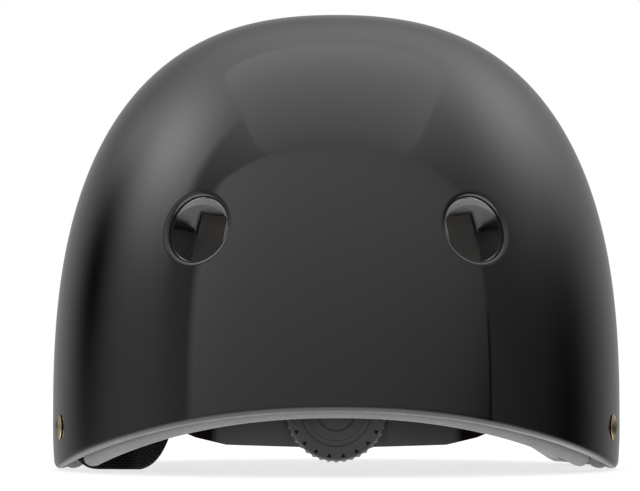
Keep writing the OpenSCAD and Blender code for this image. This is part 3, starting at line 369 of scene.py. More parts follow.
def dome_solid(name, material, insets, rim, edge, cols, rows_of, vents=True):
    """Closed dome between an outer and an inner inset, with that many rows of points on each.

    edge lists (share of the wall, height above the rim) round its lower edge, from outside to inside.
    """
    t = np.arange(cols) * 360 / cols
    rims = rim(t)
    verts, skins, starts = [], [], []
    for inset, rows, (_, lift), flip in zip(insets, rows_of, (edge[0], edge[-1]), (False, True)):
        base = len(verts)
        start = climb(rims + lift, inset)
        for j in range(rows):
            verts.extend(climb_point(t, start + (90 - start) * j / rows, inset))
        top, last = len(verts), range(len(verts) - cols, len(verts))
        verts.append(np.array([0, 0, EQUATOR + DOME_C - inset]))
        cap = [[last[i], last[(i + 1) % cols], top] for i in range(cols)]
        skins.append(grid_faces(rows, cols, base, flip) + ([f[::-1] for f in cap] if flip else cap))
        starts.append(range(base, base + cols))
    rows = [starts[0]]
    for share, lift in edge[1:-1]:
        rows.append(range(len(verts), len(verts) + cols))
        verts.extend(dome_point(t, rims + lift, insets[0] + (insets[1] - insets[0]) * share))
    rows.append(starts[1])
    rest = []
    for low, high in zip(rows, rows[1:]):
        rest += strip(low, high, flip=True)
    if vents:
        rest += open_vents(verts, skins, insets)
    return new_object(name, verts, skins[0] + skins[1] + rest, material)


def open_vents(verts, skins, insets):
    """Opens the vents, with a rolled edge outside and a small one inside, and gives the bores' faces."""
    r, lip = VENT_R, VENT_LIP
    turns = np.radians([12, 24, 36, 48, 60, 72, 82, 90])
    roll = [(r + (lip - r) * (1 - math.sin(a)), VENT_ROLL * (1 - math.cos(a))) for a in turns]
    outside = [(lip + 1.6, 0), (lip + 0.7, 0), (lip, 0)] + roll
    within = [(r + 2.4, 0), (r + 1.4, 0), (r + 0.6, 0), (r + 0.15, -0.2), (r, -0.5)]
    bores = []
    for centre, axis in VENTS:
        ends = []
        for k, reach, rings in ((0, 19, outside), (1, 17, within)):
            skins[k], end = vent_opening(verts, skins[k], centre, axis, insets[k], reach, rings, k == 1)
            ends.append(end)
        bores += strip(*ends)
    return bores


def joined(name, solids, material=None):
    """One mesh from several closed (vertices, faces) lists."""
    verts, faces = [], []
    for v, f in solids:
        faces.extend([[len(verts) + i for i in face] for face in f])
        verts.extend(v)
    return new_object(name, verts, faces, material, smooth=False)


def lathe(profile, origin, axis, count=64):
    """Closed solid turned about axis. profile lists (radius, distance along axis), foot first."""
    axis = np.asarray(axis, float) / np.linalg.norm(axis)
    spokes = spokes_round(axis, count)
    verts = []
    for r, h in profile:
        verts.extend(origin + r * spokes + h * axis)
    return verts, tube(len(profile), count)


def prism(outline, low, high, place):
    """Closed solid from a flat outline, anticlockwise, between two heights, put in place by a function."""
    return [place(x, y, z) for z in (low, high) for x, y in outline], tube(2, len(outline))


def cut(obj, solids):
    tool = joined("cutter", solids)
    mod = obj.modifiers.new("cut", "BOOLEAN")
    mod.object = tool
    mod.solver = "EXACT"
    apply_modifiers(obj)
    bpy.data.objects.remove(tool)


# Materials


def feed(place, source):
    """Sets a node's input to a number, a colour or what another node gives."""
    if isinstance(source, Value):
        place.id_data.links.new(source.socket, place)
    else:
        place.default_value = source


def new_node(tree, kind, *sources, **settings):
    """Settings go to the node's properties or to inputs of that name, and sources to its first inputs."""
    made = tree.nodes.new(kind)
    for key, value in settings.items():
        if key in made.bl_rna.properties:
            setattr(made, key, value)
        else:
            feed(made.inputs[key], value)
    for place, source in zip(made.inputs, sources):
        feed(place, source)
    return made


class Value:
    """What a shader node gives. It takes part in sums as a number does."""

    def __init__(self, socket):
        self.socket = socket

    def node(self, kind, *others, **settings):
        return Value(new_node(self.socket.id_data, kind, self, *others, **settings).outputs[0])

    def math(self, operation, *others):
        return self.node("ShaderNodeMath", *others, operation=operation)

    def __add__(self, other):
        return self.math("ADD", other)

    def __sub__(self, other):
        return self.math("SUBTRACT", other)

    def __rsub__(self, other):
        return self * -1 + other

    def __mul__(self, other):
        return self.math("MULTIPLY", other)

    def __truediv__(self, other):
        return self.math("DIVIDE", other)

    def step(self, start, end, kind="SMOOTHSTEP"):
        """Climbs from 0 at start to 1 at end, which may be the lower of the two."""
        ends = (0.0, 1.0) if end > start else (1.0, 0.0)
        low, high = sorted((start, end))
        return self.node("ShaderNodeMapRange", low, high, *ends, interpolation_type=kind)

    def parts(self):
        """The three parts of a place or direction."""
        return [Value(part) for part in self.node("ShaderNodeSeparateXYZ").socket.node.outputs]


class Finish:
    """A procedural material whose patterns use the object's own coordinates, in metres."""

    def __init__(self, name, base, rough, gloss=0.5, **sockets):
        self.material = bpy.data.materials.new(name)
        self.material.use_nodes = True
        self.tree = self.material.node_tree
        self.shader = self.tree.nodes["Principled BSDF"]
        self.set("Base Color", (*base, 1))
        self.set("Roughness", rough)
        self.set("Specular IOR Level", gloss)
        for key, value in sockets.items():
            self.set(key.replace("_", " "), value)
        coords = new_node(self.tree, "ShaderNodeTexCoord").outputs
        self.spot, self.weave = Value(coords["Object"]), Value(coords["UV"])

    def set(self, socket, source):
        feed(self.shader.inputs[socket], source)
        return self

    def noise(self, scale, detail=4.0):
        return self.spot.node("ShaderNodeTexNoise", Scale=scale, Detail=detail)

    def cells(self, scale, feature="F1"):
        return self.spot.node("ShaderNodeTexVoronoi", Scale=scale, feature=feature)

    def ramp(self, source, low, high, at=(0.3, 0.7)):
        """Colour or grey that goes from low to high between two places of source."""
        made = new_node(self.tree, "ShaderNodeValToRGB", source)
        for element, value, place in zip(made.color_ramp.elements, (low, high), at):
            element.color = (*np.broadcast_to(value, 3), 1)
            element.position = place
        return Value(made.outputs[0])

    def colour(self, *ramp):
        return self.set("Base Color", self.ramp(*ramp))

    def rough(self, *ramp):
        return self.set("Roughness", self.ramp(*ramp))

    def bump(self, *layers):
        """layers are (height source, depth in metres), laid one on the other."""
        below = {}
        for source, depth in layers:
            made = new_node(self.tree, "ShaderNodeBump", Distance=depth, Height=source, **below)
            below = {"Normal": Value(made.outputs[0])}
        return self.set("Normal", below["Normal"])

    def mottled(self, low, high, patch, grain, depth, at=(0.3, 0.7)):
        """Two tones in soft patches over a fine bump. patch and grain are (scale, detail) of the noise."""
        self.colour(self.noise(*patch), low, high, at)
        return self.bump((self.noise(*grain), depth))


def shell_finish():
    f = Finish("shell_gloss", (0.0035, 0.0035, 0.004), 0.05)
    f.rough(f.noise(14, 3), 0.035, 0.07)
    return f.bump((f.noise(190, 2), 0.0000045), (f.noise(30, 2), 0.00002)).material


def foam_finish(name, low, high, share):
    """Moulded beads. share is how strongly their joints show in the colour."""
    f = Finish(name, high, 0.72, gloss=0.35)
    beads = (f.cells(380.0, "DISTANCE_TO_EDGE") * 7.0).math("MINIMUM", 1.0)
    f.colour(beads * share + f.noise(90) * (1 - share), low, high, (0.25, 0.8))
    return f.bump((beads, 0.0004 * share), (f.noise(420, 3), 0.0003)).material


def pad_finish():
    sheen = {"Sheen_Weight": 0.15, "Sheen_Roughness": 0.4}
    f = Finish("pad_knit", (0.007, 0.007, 0.007), 0.9, gloss=0.2, **sheen)
    f.colour(f.noise(350), (0.004, 0.004, 0.004), (0.01, 0.01, 0.0105))
    return f.bump((f.cells(1100.0), 0.0003), (f.noise(90), 0.0004)).material


def web_finish():
    """Plain weave in the ribbon's own coordinates: across in widths, along in metres."""
    yarns, repeat = 9, 0.0019
    f = Finish("webbing_weave", (0.004, 0.004, 0.004), 0.7, gloss=0.05, Sheen_Weight=0.02)
    across, along, _ = f.weave.parts()
    across, along = across * (2 * math.pi * yarns), along * (2 * math.pi / repeat)
    cloth = across.math("SINE") * along.math("SINE") + (across * 2.0).math("COSINE") * 0.5
    f.colour(cloth * 0.25 + f.noise(700), (0.002, 0.002, 0.002), (0.006, 0.006, 0.0065), (0.2, 0.9))
    return f.bump((cloth, 0.00016), (f.noise(2600), 0.00008)).material


def plastic_finish(name, tone, rough, depth=0.00003, scale=2200):
    f = Finish(name, tone, rough, gloss=0.45)
    low, high = (tuple(c * share for c in tone) for share in (0.85, 1.15))
    f.rough(f.noise(120, 3), rough * 0.88, rough * 1.12)
    return f.mottled(low, high, (45,), (scale, 2), depth).material


def brass_finish():
    f = Finish("rivet_antique_brass", (0.40, 0.31, 0.17), 0.32, Metallic=1.0)
    f.rough(f.noise(900, 4), 0.24, 0.42)
    low, high = (0.22, 0.175, 0.11), (0.52, 0.44, 0.30)
    return f.mottled(low, high, (420, 5), (1800, 3), 0.00004, (0.3, 0.65)).material


def steel_finish():
    f = Finish("zinc_steel", (0.5, 0.5, 0.52), 0.35, Metallic=1.0)
    f.rough(f.noise(900, 3), 0.28, 0.45)
    return f.mottled((0.38, 0.38, 0.4), (0.6, 0.6, 0.61), (500, 4), (3000, 2), 0.00002).material


def rubber_finish():
    f = Finish("keeper_rubber", (0.02, 0.02, 0.02), 0.8, gloss=0.3)
    low, high = (0.014, 0.014, 0.014), (0.028, 0.028, 0.028)
    return f.mottled(low, high, (200,), (1500, 3), 0.00006).material


def floor_finish():
    """White light table: lit from below as well, so that its shadows stay faint."""
    f = Finish("floor_pale", (0.3, 0.3, 0.3), 0.6, gloss=0.1, Emission_Strength=0.74)
    f.set("Emission Color", (1, 1, 1, 1))
    return f.colour(f.noise(3), (0.295, 0.295, 0.295), (0.305, 0.305, 0.305)).material


def edge_highlight_finish():
    """Trimmed edge of the shell: its cut face is duller than its skin, and its lighter grey is a painted
    highlight where the rim catches light from below.
    """
    f = Finish("shell_edge_painted_highlight", (0.16, 0.16, 0.165), 0.5, gloss=0.4)
    low, high = (0.08, 0.08, 0.083), (0.13, 0.13, 0.134)
    return f.mottled(low, high, (260, 3), (900, 3), 0.00008).material


def yoke_finish():
    """Satin grey, with painted shade at the ends, where the bands enter: dark, reddish and dull there."""
    end_shade_start, end_shade_full, end_painted_shade_tone = 0.0405, 0.0435, (0.0045, 0.0018, 0.0018, 1)
    f = Finish("yoke_plastic", (0.025, 0.026, 0.027), 0.38, gloss=0.45)
    # ends is painted shade: towards each end the colour turns dark and reddish and the gloss falls
    ends = f.spot.parts()[0].math("ABSOLUTE").step(end_shade_start, end_shade_full, "LINEAR")
    mix = new_node(f.tree, "ShaderNodeMix", ends, data_type="RGBA")
    feed(mix.inputs[6], f.ramp(f.noise(45), (0.015, 0.0155, 0.016), (0.021, 0.0215, 0.023)))
    feed(mix.inputs[7], end_painted_shade_tone)
    f.set("Base Color", Value(mix.outputs[2]))
    f.set("Specular IOR Level", (1.06 - ends) * 0.42)
    return f.bump((f.noise(2200, 2), 0.00003)).material


SHELL = shell_finish()
# One liner foam in two tones that stand in for light: the lighter tone inside is painted light, and the
# darker tone on the strip under the shell is painted shade
FOAM_INSIDE_PAINTED_LIGHT = foam_finish("foam_inside_painted_light", (0.29, 0.29, 0.282), (0.38, 0.38, 0.37), 0.22)
FOAM_STRIP_PAINTED_SHADE = foam_finish("foam_strip_painted_shade", (0.185, 0.186, 0.186), (0.225, 0.226, 0.226), 0.1)
HOOK = plastic_finish("hook_patch", (0.06, 0.055, 0.049), 0.9, 0.0003, 1500)
PAD = pad_finish()
WEB = web_finish()
BRASS = brass_finish()
STEEL = steel_finish()
RUBBER = rubber_finish()
BUCKLE = plastic_finish("buckle_acetal", (0.018, 0.018, 0.019), 0.42)
BAND = plastic_finish("band_plastic", (0.02, 0.02, 0.021), 0.36)
DIAL = plastic_finish("dial_plastic", (0.027, 0.028, 0.03), 0.42)
MARK = plastic_finish("dial_mark_dark", (0.001, 0.001, 0.001), 0.9)
YOKE = yoke_finish()
EDGE_PAINTED_HIGHLIGHT = edge_highlight_finish()


# Rigid pieces


def own(piece, body, slot, *replaced):
    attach(piece, body)
    if replaced:
        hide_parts(*replaced)
    return piece


def smooth_by_angle(obj, degrees):
    obj.data.polygons.foreach_set("use_smooth", [True] * len(obj.data.polygons))
    obj.data.set_sharp_from_angle(angle=math.radians(degrees))


def softened(node, body, slot, material, width):
    """A rigid node's own solid with its sharp edges rounded, which stands for it."""
    mesh = nodes[node].data.copy()
    bm = bmesh.new()
    bm.from_mesh(mesh)
    bmesh.ops.remove_doubles(bm, verts=bm.verts, dist=MERGE)
    bmesh.ops.dissolve_limit(bm, angle_limit=math.radians(FLAT_ANGLE), verts=bm.verts, edges=bm.edges)
    bm.to_mesh(mesh)
    bm.free()
    mesh.materials.clear()
    mesh.materials.append(material)
    obj = placed(node + "_made", mesh)
    mod = obj.modifiers.new("edges", "BEVEL")
    mod.width = width * MM
    mod.segments = 2
    mod.limit_method = "ANGLE"
    mod.angle_limit = math.radians(EDGE_ANGLE)
    apply_modifiers(obj)
    smooth_by_angle(obj, SMOOTH_ANGLE)
    return own(obj, body, slot, node)


def plan_angle(p):
    """Plan angle, in degrees, that points of the dome lie at."""
    x, y = spow(p[..., 0] / DOME_A, PLAN_N / 2), spow(p[..., 1] / DOME_B, PLAN_N / 2)
    return np.degrees(np.arctan2(y, x))


def make_shell():
    """Shell with the dome's own normals on its skin, and a duller trimmed edge in a lighter grey that is a
    painted highlight.
    """
    turns = np.radians(np.arange(0, 91, 9))
    edge = [(RIM_TURN * (1 - math.cos(a)), RIM_ROLL * (1 - math.sin(a))) for a in turns]
    edge += [(0.84, 0.0), (0.92, 0.04), (0.97, 0.2), (1.0, 0.6)]
    shell = dome_solid("shell_skin", SHELL, (0, SHELL_T), rim_z, edge, cols=240, rows_of=(110, 48))
    verts = np.array([v.co for v in shell.data.vertices]) / MM
    normals = np.array([v.vector for v in shell.data.vertex_normals])
    exact = dome_normal(verts, 0)
    touching, alike = 1e-5, 0.985
    on_skin = (np.abs(dome_level(verts, 0)) < touching) & ((normals * exact).sum(1) > alike)
    normals[on_skin] = exact[on_skin]
    # Faces of the trimmed edge, up to TRIM_HEIGHT above the rim, take the lighter grey: a painted highlight
    # along the rim
    shell.data.materials.append(EDGE_PAINTED_HIGHLIGHT)
    for face in shell.data.polygons:
        spots = list(face.vertices)
        low = rim_z(plan_angle(verts[spots[0]]))
        if verts[spots, 2].max() < low + TRIM_HEIGHT and not on_skin[spots].all():
            face.material_index = 1
    shell.data.normals_split_custom_set_from_vertices([tuple(n) for n in normals])
    return own(shell, "helmet", "shell", "outer_shell")


def aimed(centre, axis):
    """Place function for a prism that is set square to the dome, with its x axis down the wall."""
    level, up = frame_of(axis)
    return lambda x, y, z: centre - x * up + y * level + z * axis


def notch_outline():
    """Strap notch with rounded upper corners, clockwise: x down the wall, y level."""
    top, long, half, r = RIVET_Z - NOTCH_TOP, 60, NOTCH_W / 2, NOTCH_ROUND
    turns = np.radians(np.arange(0, 91, 15))
    arc = [(top + r - r * math.cos(a), half - r + r * math.sin(a)) for a in turns]
    left = [(x, -y) for x, y in arc][::-1]
    return (left + arc + [(top + long, half), (top + long, -half)])[::-1]


def pocket_outline():
    """Dial pocket, clockwise: round at the top and open at the bottom."""
    r, below = POCKET_R, -20
    arc = [(r * math.cos(a), POCKET_TOP + r * math.sin(a)) for a in np.radians(np.arange(0, 181, 6))]
    return (arc + [(-r, below), (r, below)])[::-1]


def vent_holes():
    """Tapered holes behind the top vents, and level bores behind the others, which would meet far outside."""
    r, bore, steep = LINER_VENT_R, LINER_BORE_R, 0.7
    top = [(r + 2.5, -34), (r + 2.5, -24), (r, -17), (r, -4.6), (r + 1.5, 4)]
    wall = [(bore, -50), (bore, -10), (bore + 0.6, 3), (14, 16)]
    for centre, axis in VENTS:
        if axis[2] > steep:
            yield lathe(top, centre, axis)
        else:
            way = np.array([-centre[0] / BORE_MEET, math.copysign(1.0, centre[1]), 0])
            yield lathe(wall, centre - LINER_OUT * axis, way)


def anchor_seats():
    """Seats for the temple anchors' sockets."""
    lo, hi = np.array(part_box("anchor_sockets")) / MM
    outer, (_, y, z) = hi[0] + 0.4, (lo + hi) / 2
    for side in (-1, 1):
        profile = [(8.5, -14.0), (6.4, -9.4), (5.1, -9.0), (5.1, 0)]
        yield lathe(profile, np.array([side * outer, y, z]), [side, 0, 0])


def make_liner():
    """Liner with its openings cut, and the strip that shows under the shell in the darker foam tone, which is
    painted shade against the lighter foam inside.
    """
    edge = [(0.0, 2.6), (0.02, 1.5), (0.06, 0.7), (0.11, 0.2), (0.16, 0.0), (0.2, 0.0), (0.27, 0.2)]
    edge += [(0.34, 0.7), (0.42, 1.5), (0.9, 7.5), (0.96, 8.6), (0.99, 9.8), (1.0, 11.0)]
    insets = (LINER_OUT, LINER_IN)
    liner = dome_solid("foam_liner", FOAM_INSIDE_PAINTED_LIGHT, insets, liner_rim_z, edge, cols=180, rows_of=(60, 44), vents=False)
    liner.data.materials.append(FOAM_STRIP_PAINTED_SHADE)
    spots = np.array([v.co for v in liner.data.vertices]) / MM
    strip_top = liner_rim_z(plan_angle(spots)) + STRIP_HEIGHT
    # Faces of the strip that shows under the shell take the darker foam: painted shade
    shows = (dome_level(spots, LINER_OUT + STRIP_DEPTH) > 0) & (spots[:, 2] < strip_top)
    for face in liner.data.polygons:
        face.material_index = int(shows[list(face.vertices)].all())
    tools = list(vent_holes())
    within, outside = -40, 10
    for centre, axis in RIVETS:
        tools.append(prism(notch_outline(), within, outside, aimed(centre, axis)))
    back = -POCKET_BACK
    tools.append(prism(pocket_outline(), back, back + POCKET_DEPTH, lambda x, z, y: np.array([x, y, z])))
    cut(liner, tools + list(anchor_seats()))
    smooth_by_angle(liner, 40)
    return own(liner, "helmet", "foam", "eps_liner")


# Webbing, on the construction's routes


def wall_side(out, turn):
    level, up = frame_of(out)
    return math.cos(math.radians(turn)) * level + math.sin(math.radians(turn)) * up


def on_wall(start, stations):
    """Points and width directions at (plan angle past start, height, inset, turn of the width)."""
    found = []
    for t, z, inset, turn in stations:
        p = dome_point(start + t, z, inset)
        found.append((p, wall_side(dome_normal(p, inset), turn)))
    return found


DIVIDER_SPOT = dome_point(0, DIVIDER_Z, DIVIDER_IN)
DIVIDER_OUT = dome_normal(DIVIDER_SPOT, DIVIDER_IN)


def in_divider(x, y, z):
    level, up = frame_of(DIVIDER_OUT)
    return DIVIDER_SPOT + x * level + y * up + z * DIVIDER_OUT


def divider_entry(way, flip):
    """The strap's last points, straight into its divider, in front (1) or at the rear (-1)."""
    lean = math.radians(DIVIDER_LEAN)
    side = wall_side(DIVIDER_OUT, way * DIVIDER_LEAN + flip)
    return [(in_divider(way * s * math.sin(lean), DIVIDER_CROSS - s * math.cos(lean), way * LAYER), side)
            for s in (27, 18, 8)]


# A strap's way from its rivet inside the shell, down round the notch's edge and up behind the liner
NOTCH_TURN = [(0, RIVET_Z + 6, TAB_MID, 0), (0, RIVET_Z - 2, TAB_MID, 0),
              (0, RIVET_Z - 8.5, TAB_MID + 1.5, 0), (0, RIVET_Z - 11.5, TAB_MID + 6, 0),
              (0, RIVET_Z - 11.5, STRAP_IN - 6, 0), (0, RIVET_Z - 8, STRAP_IN - 1, 0)]


def front_route():
    wall = [(0, RIVET_Z, STRAP_IN + 0.3, 2), (-0.5, DIVIDER_Z - 42, STRAP_IN + 0.2, 10),
            (-1.5, DIVIDER_Z - 29, STRAP_IN + 1.8, 24)]
    return on_wall(FRONT_RIVET_T, NOTCH_TURN + wall) + divider_entry(1, 0)


def rear_route():
    wall = [(0.5, RIVET_Z, STRAP_IN + 0.3, -4), (3, DIVIDER_Z - 43, STRAP_IN + 0.3, -24),
            (9, DIVIDER_Z - 29, STRAP_IN + 1.2, -36)]
    return on_wall(-REAR_RIVET_T, NOTCH_TURN + wall) + divider_entry(-1, 0)


def slack_route():
    """The slack strap's crescent: down out of the notch, round behind and up to the divider."""
    slack = STRAP_IN + 0.8
    wall = [(0, RIVET_Z + 6, TAB_MID, 0), (-0.1, RIVET_Z, TAB_MID, -4), (-1.3, 11.4, TAB_MID + 0.3, -34),
            (-3.6, 9.8, TAB_MID + 5, -78), (-6, 9.7, TAB_MID + 11, -90), (-9, 9.7, STRAP_IN + 0.2, -92),
            (-14, 10.2, slack, -96), (-19, 13.5, slack, -115), (-22, 21, slack, -145),
            (-22.5, 31, slack + 0.2, -180), (-19, 40, slack, -205), (-11, 45, slack, -214),
            (6, DIVIDER_Z - 25, STRAP_IN + 1.6, -216)]
    return on_wall(-REAR_RIVET_T, wall) + divider_entry(-1, -180)


def buckle_point(x, z):
    a = math.radians(BUCKLE_TILT)
    along, up = np.array([math.cos(a), 0, -math.sin(a)]), np.array([math.sin(a), 0, math.cos(a)])
    return np.array([BUCKLE_X, 0.0, BUCKLE_Z]) + x * along + z * up


def bar_loop(side, far_x, far_z):
    out, half, wrap = BAR_OUT, BAR_HALF, BAR_WRAP
    spots = [(out + half + 3, wrap), (out - 1, wrap), (out - half - 0.7, wrap - 0.5), (out - half - 1.3, 0),
             (out - half - 0.7, 0.5 - wrap), (out - 1, -wrap), (out + half + 3, -wrap), (far_x, far_z)]
    return [buckle_point(side * x, z) for x, z in spots]


def chin_route(side):
    """The right (1) or left (-1) chin strap: from its divider along the liner to the buckle's bar."""
    start = float(climb(DIVIDER_Z + 5, DIVIDER_IN))
    entry = [in_divider(0, y, 0) for y in (DIVIDER_CROSS + 2.5, 15, 22)]
    if side > 0:
        stations, ahead, drop = [(16, 1), (22, 1.6), (28, 5)], 13, -4.6
    else:
        stations, ahead, drop = [(16, 0.8), (24, 0.6), (33, 1.2), (42, 3.4), (47.5, 6)], 12, -4.4
    wall = [climb_point(0, start + up, STRAP_IN + off) for up, off in stations]
    route = [p * [side, 1, 1] for p in entry + wall] + bar_loop(side, BAR_OUT + ahead, drop)
    return [(p, np.array([0.0, 1.0, 0.0])) for p in route]


def smooth_route(route, steps):
    """Curve through the stations, as (point, width direction)."""
    c = [np.concatenate(s) for s in route]
    last = len(c) - 1
    found = []
    for i in range(last):
        a, b, d, e = c[max(0, i - 1)], c[i], c[i + 1], c[min(last, i + 2)]
        for j in range(steps):
            s = j / steps
            found.append(0.5 * (2 * b + (d - a) * s + (2 * a - 5 * b + 4 * d - e) * s * s
                                + (3 * b - a - 3 * d + e) * s ** 3))
    found.append(c[last])
    return [(q[:3], q[3:]) for q in found]


def web_section():
    """Outline of the webbing across, in its own plane: flat faces and rounded selvedges."""
    half, r = WEB_SEEN_W / 2, WEB_SEEN_T / 2
    flats = np.linspace(-half + r, half - r, 9)
    right = [(half - r + r * math.cos(a), r * math.sin(a)) for a in np.radians([60, 20, -20, -60])]
    left = [(-x, -y) for x, y in right]
    return [(x, r) for x in flats] + right + [(x, -r) for x in flats[::-1]] + left


def webbing(name, route, mirror=False):
    """A ribbon along a route, and its length in metres."""
    path = smooth_route(route, steps=6)
    outline = web_section()
    n = len(outline)
    verts, lengths = [], [0.0]
    last = len(path) - 1
    for i, (p, side) in enumerate(path):
        along = path[min(last, i + 1)][0] - path[max(0, i - 1)][0]
        along = along / np.linalg.norm(along)
        across = side - (side @ along) * along
        across = across / np.linalg.norm(across)
        out = np.cross(along, across)
        verts += [p + x * across + y * out for x, y in outline]
        if i:
            lengths.append(lengths[-1] + np.linalg.norm(p - path[i - 1][0]))
    hand = [-1, 1, 1] if mirror else [1, 1, 1]
    obj = new_object(name, np.array(verts) * hand, tube(last + 1, n, flip=not mirror), WEB)
    uv = obj.data.uv_layers.new(name="weave")
    for loop in obj.data.loops:
        ring, k = divmod(loop.vertex_index, n)
        uv.data[loop.index].uv = (outline[k][0] / WEB_W + 0.5, lengths[ring] * MM)
    smooth_by_angle(obj, 60)
    return obj, lengths[-1] * MM


def make_straps():
    plan = [("front_strap_right", front_route(), False), ("front_strap_left", front_route(), True),
            ("rear_strap_right", rear_route(), False), ("rear_strap_left", slack_route(), True),
            ("chin_strap_left", chin_route(-1), False)]
    for name, route, mirror in plan:
        obj, length = webbing("web_" + name, route, mirror)
        own(obj, "helmet", "webbing", name)
    route = chin_route(1)
    obj, length = webbing("web_chin_strap_right", route)
    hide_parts("chin_strap_right")
    start, end = route[4][0], buckle_point(BAR_OUT + BAR_HALF + 2, 0)
    tuple(start * MM)
    tuple(end * MM)
    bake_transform(obj)


# Pads: thin foam laminates with a welded edge and pressed channels


def squircle(u, v):
    pull = 0.28
    return u * np.sqrt(1 - pull * v * v), v * np.sqrt(1 - pull * u * u)


def rounded(share):
    """Quarter-round climb from 0 to 1."""
    return np.sqrt(np.clip(1 - (1 - np.clip(share, 0, 1)) ** 2, 0, 1))


def pad_section(name, x, y, length, height, channels, full):
    """Heights of a pad's back and front over the grid x, y, both from -1 to 1."""
    side, end = (1 - np.abs(x)) * length / 2, (1 - np.abs(y)) * height / 2
    corner, channel_floor = 0.35, PAD_FLANGE * 1.3
    margin = np.minimum(side, end)
    margin = np.minimum(margin, corner * np.sqrt(side ** 2 + end ** 2) + (1 - corner) * margin)
    crown = 1 - CROWNING + CROWNING * (1 - x ** 4) * (1 - y ** 4)
    thick = PAD_FLANGE + (full - PAD_FLANGE) * rounded((margin - RISE_IN) / RISE_WIDE) * crown
    for place in channels:
        gap = np.abs(squircle(x, y)[0] - place) * length / 2
        thick = thick - (thick - channel_floor) * CHANNEL_SHARE * np.exp(-(gap / CHANNEL_WIDE) ** 2)
    thick = thick - WELD_DEEP * np.exp(-((margin - WELD_IN) / WELD_WIDE) ** 2)
    rng = np.random.default_rng(len(name))
    nap, nap_from, hem_wide, hem_back = 0.012, 1.4, 0.6, 0.45
    thick = thick + (thick > nap_from) * rng.normal(0, nap, thick.shape)
    hem = rounded(margin / hem_wide)
    back = hem_back * (1 - hem)
    return back, back + (thick - back) * hem


def pillow(name, spot, size, channels=(), full=PAD_T - PAD_GAP, cells=1.1):
    """Pad from spot(x, y, depth), with x and y from -1 to 1 and depth in mm. size is (length, height)."""
    cols, rows = int(size[0] / cells) + 1, int(size[1] / cells) + 1
    x, y = np.meshgrid(np.linspace(-1, 1, cols), np.linspace(-1, 1, rows))
    sx, sy = squircle(x, y)
    verts = []
    for skin in pad_section(name, x, y, *size, channels, full):
        verts += [spot(a, b, d) for a, b, d in zip(sx.ravel(), sy.ravel(), skin.ravel())]
    count = rows * cols
    faces = grid_faces(rows, cols, wrap=False)
    faces += [[i + count for i in f[::-1]] for f in faces]
    loop = [*range(cols), *range(2 * cols - 1, count, cols)]
    loop += [*range(count - 2, count - cols - 1, -1), *range(count - 2 * cols, 0, -cols)]
    for a, b in zip(loop, loop[1:] + loop[:1]):
        faces.append([b, a, a + count, b + count])
    obj = new_object(name, np.array(verts), faces, PAD)
    face_out(obj, PAD_MERGE)
    return obj


def between(low, high, share):
    """From low at share -1 to high at share 1."""
    return (low + high) / 2 + (high - low) / 2 * share


def wall_spot(t1, t2, z1, z2, flip):
    """The pad's place on the dome, between two plan angles and two heights."""
    def spot(x, y, depth):
        inset = LINER_IN + PAD_GAP + depth
        return dome_point(between(t1, t2, x), between(z1, z2, y), inset) * [flip, 1, 1]
    return spot


def crown_spot(x, y, depth):
    px, py = CROWN_HALF * y, between(*CROWN_Y, x)
    return np.array([px, py, dome_top(px, py, LINER_IN + PAD_GAP) - depth])


def pad_size(t1, t2, z1, z2):
    """Length and height of that place, measured along the liner."""
    line = [dome_point(t, (z1 + z2) / 2, LINER_IN) for t in np.linspace(t1, t2, 20)]
    length = sum(np.linalg.norm(b - a) for a, b in zip(line, line[1:]))
    low, high = (dome_point((t1 + t2) / 2, z, LINER_IN) for z in (z1, z2))
    return length, np.linalg.norm(high - low)


def nape_spot(flip):
    def spot(x, y, depth):
        a = math.radians(NAPE_START + NAPE_SPAN * (x + 1) / 2)
        r = NAPE_R - depth
        return np.array([flip * r * math.sin(a), BAND_Y - r * math.cos(a), DIAL_Z + NAPE_HALF * y])
    return spot


def make_pads():
    """Brow, side and crown pads on the liner, and two on the yoke, which stand for one node."""
    plan = [("brow_pad", wall_spot(*BROW, 1), pad_size(*BROW), (-0.62, -0.22, 0.22, 0.62))]
    for side, flip in (("right", 1), ("left", -1)):
        for node, spans in (("front_pad_", FRONT_PAD), ("rear_pad_", REAR_PAD)):
            plan.append((node + side, wall_spot(*spans, flip), pad_size(*spans), ()))
    plan.append(("crown_pad", crown_spot, CROWN_SIZE, (-0.34, 0.34)))
    for node, spot, size, channels in plan:
        pad = pillow("soft_" + node, spot, size, channels)
        own(pad, "helmet", "pad", node)
    for side, flip, replaced in (("right", 1, ["nape_pads"]), ("left", -1, [])):
        pad = pillow("soft_nape_pad_" + side, nape_spot(flip), (29, 16), (), full=NAPE_T, cells=0.8)
        own(pad, "yoke", "pad", *replaced)


def make_rivets():
    """Domed heads with a turned rim, on shanks that end in a flared foot."""
    r, head = RIVET_R, RIVET_HEAD
    sag = (head ** 2 - RIVET_H ** 2) / (2 * RIVET_H)
    foot = -(TAB_MID + WEB_T / 2 + 1.0)
    profile = [(r - 0.9, foot - 1.5), (r + 0.7, foot - 1.45), (r + 1.0, foot - 1.1), (r + 0.85, foot - 0.6),
               (r, foot - 0.5), (r, 0.2), (head - 0.2, 0.2), (head - 0.02, 0.27), (head, 0.42),
               (head - 0.12, 0.6), (head - 0.4, 0.7)]
    for k in range(1, 13):
        near = (head - 0.4) * math.cos(k * math.pi / 26)
        profile.append((near, 0.25 - sag + math.sqrt((sag + RIVET_H) ** 2 - near ** 2)))
    solids = [lathe(profile, centre, axis) for centre, axis in RIVETS]
    obj = joined("rivets_turned", solids, BRASS)
    smooth_by_angle(obj, 34)
    return own(obj, "helmet", "rivet", "strap_rivets")


def dial_point(x, y, z):
    return np.array([x, DIAL_FRONT - z, DIAL_Z + y])


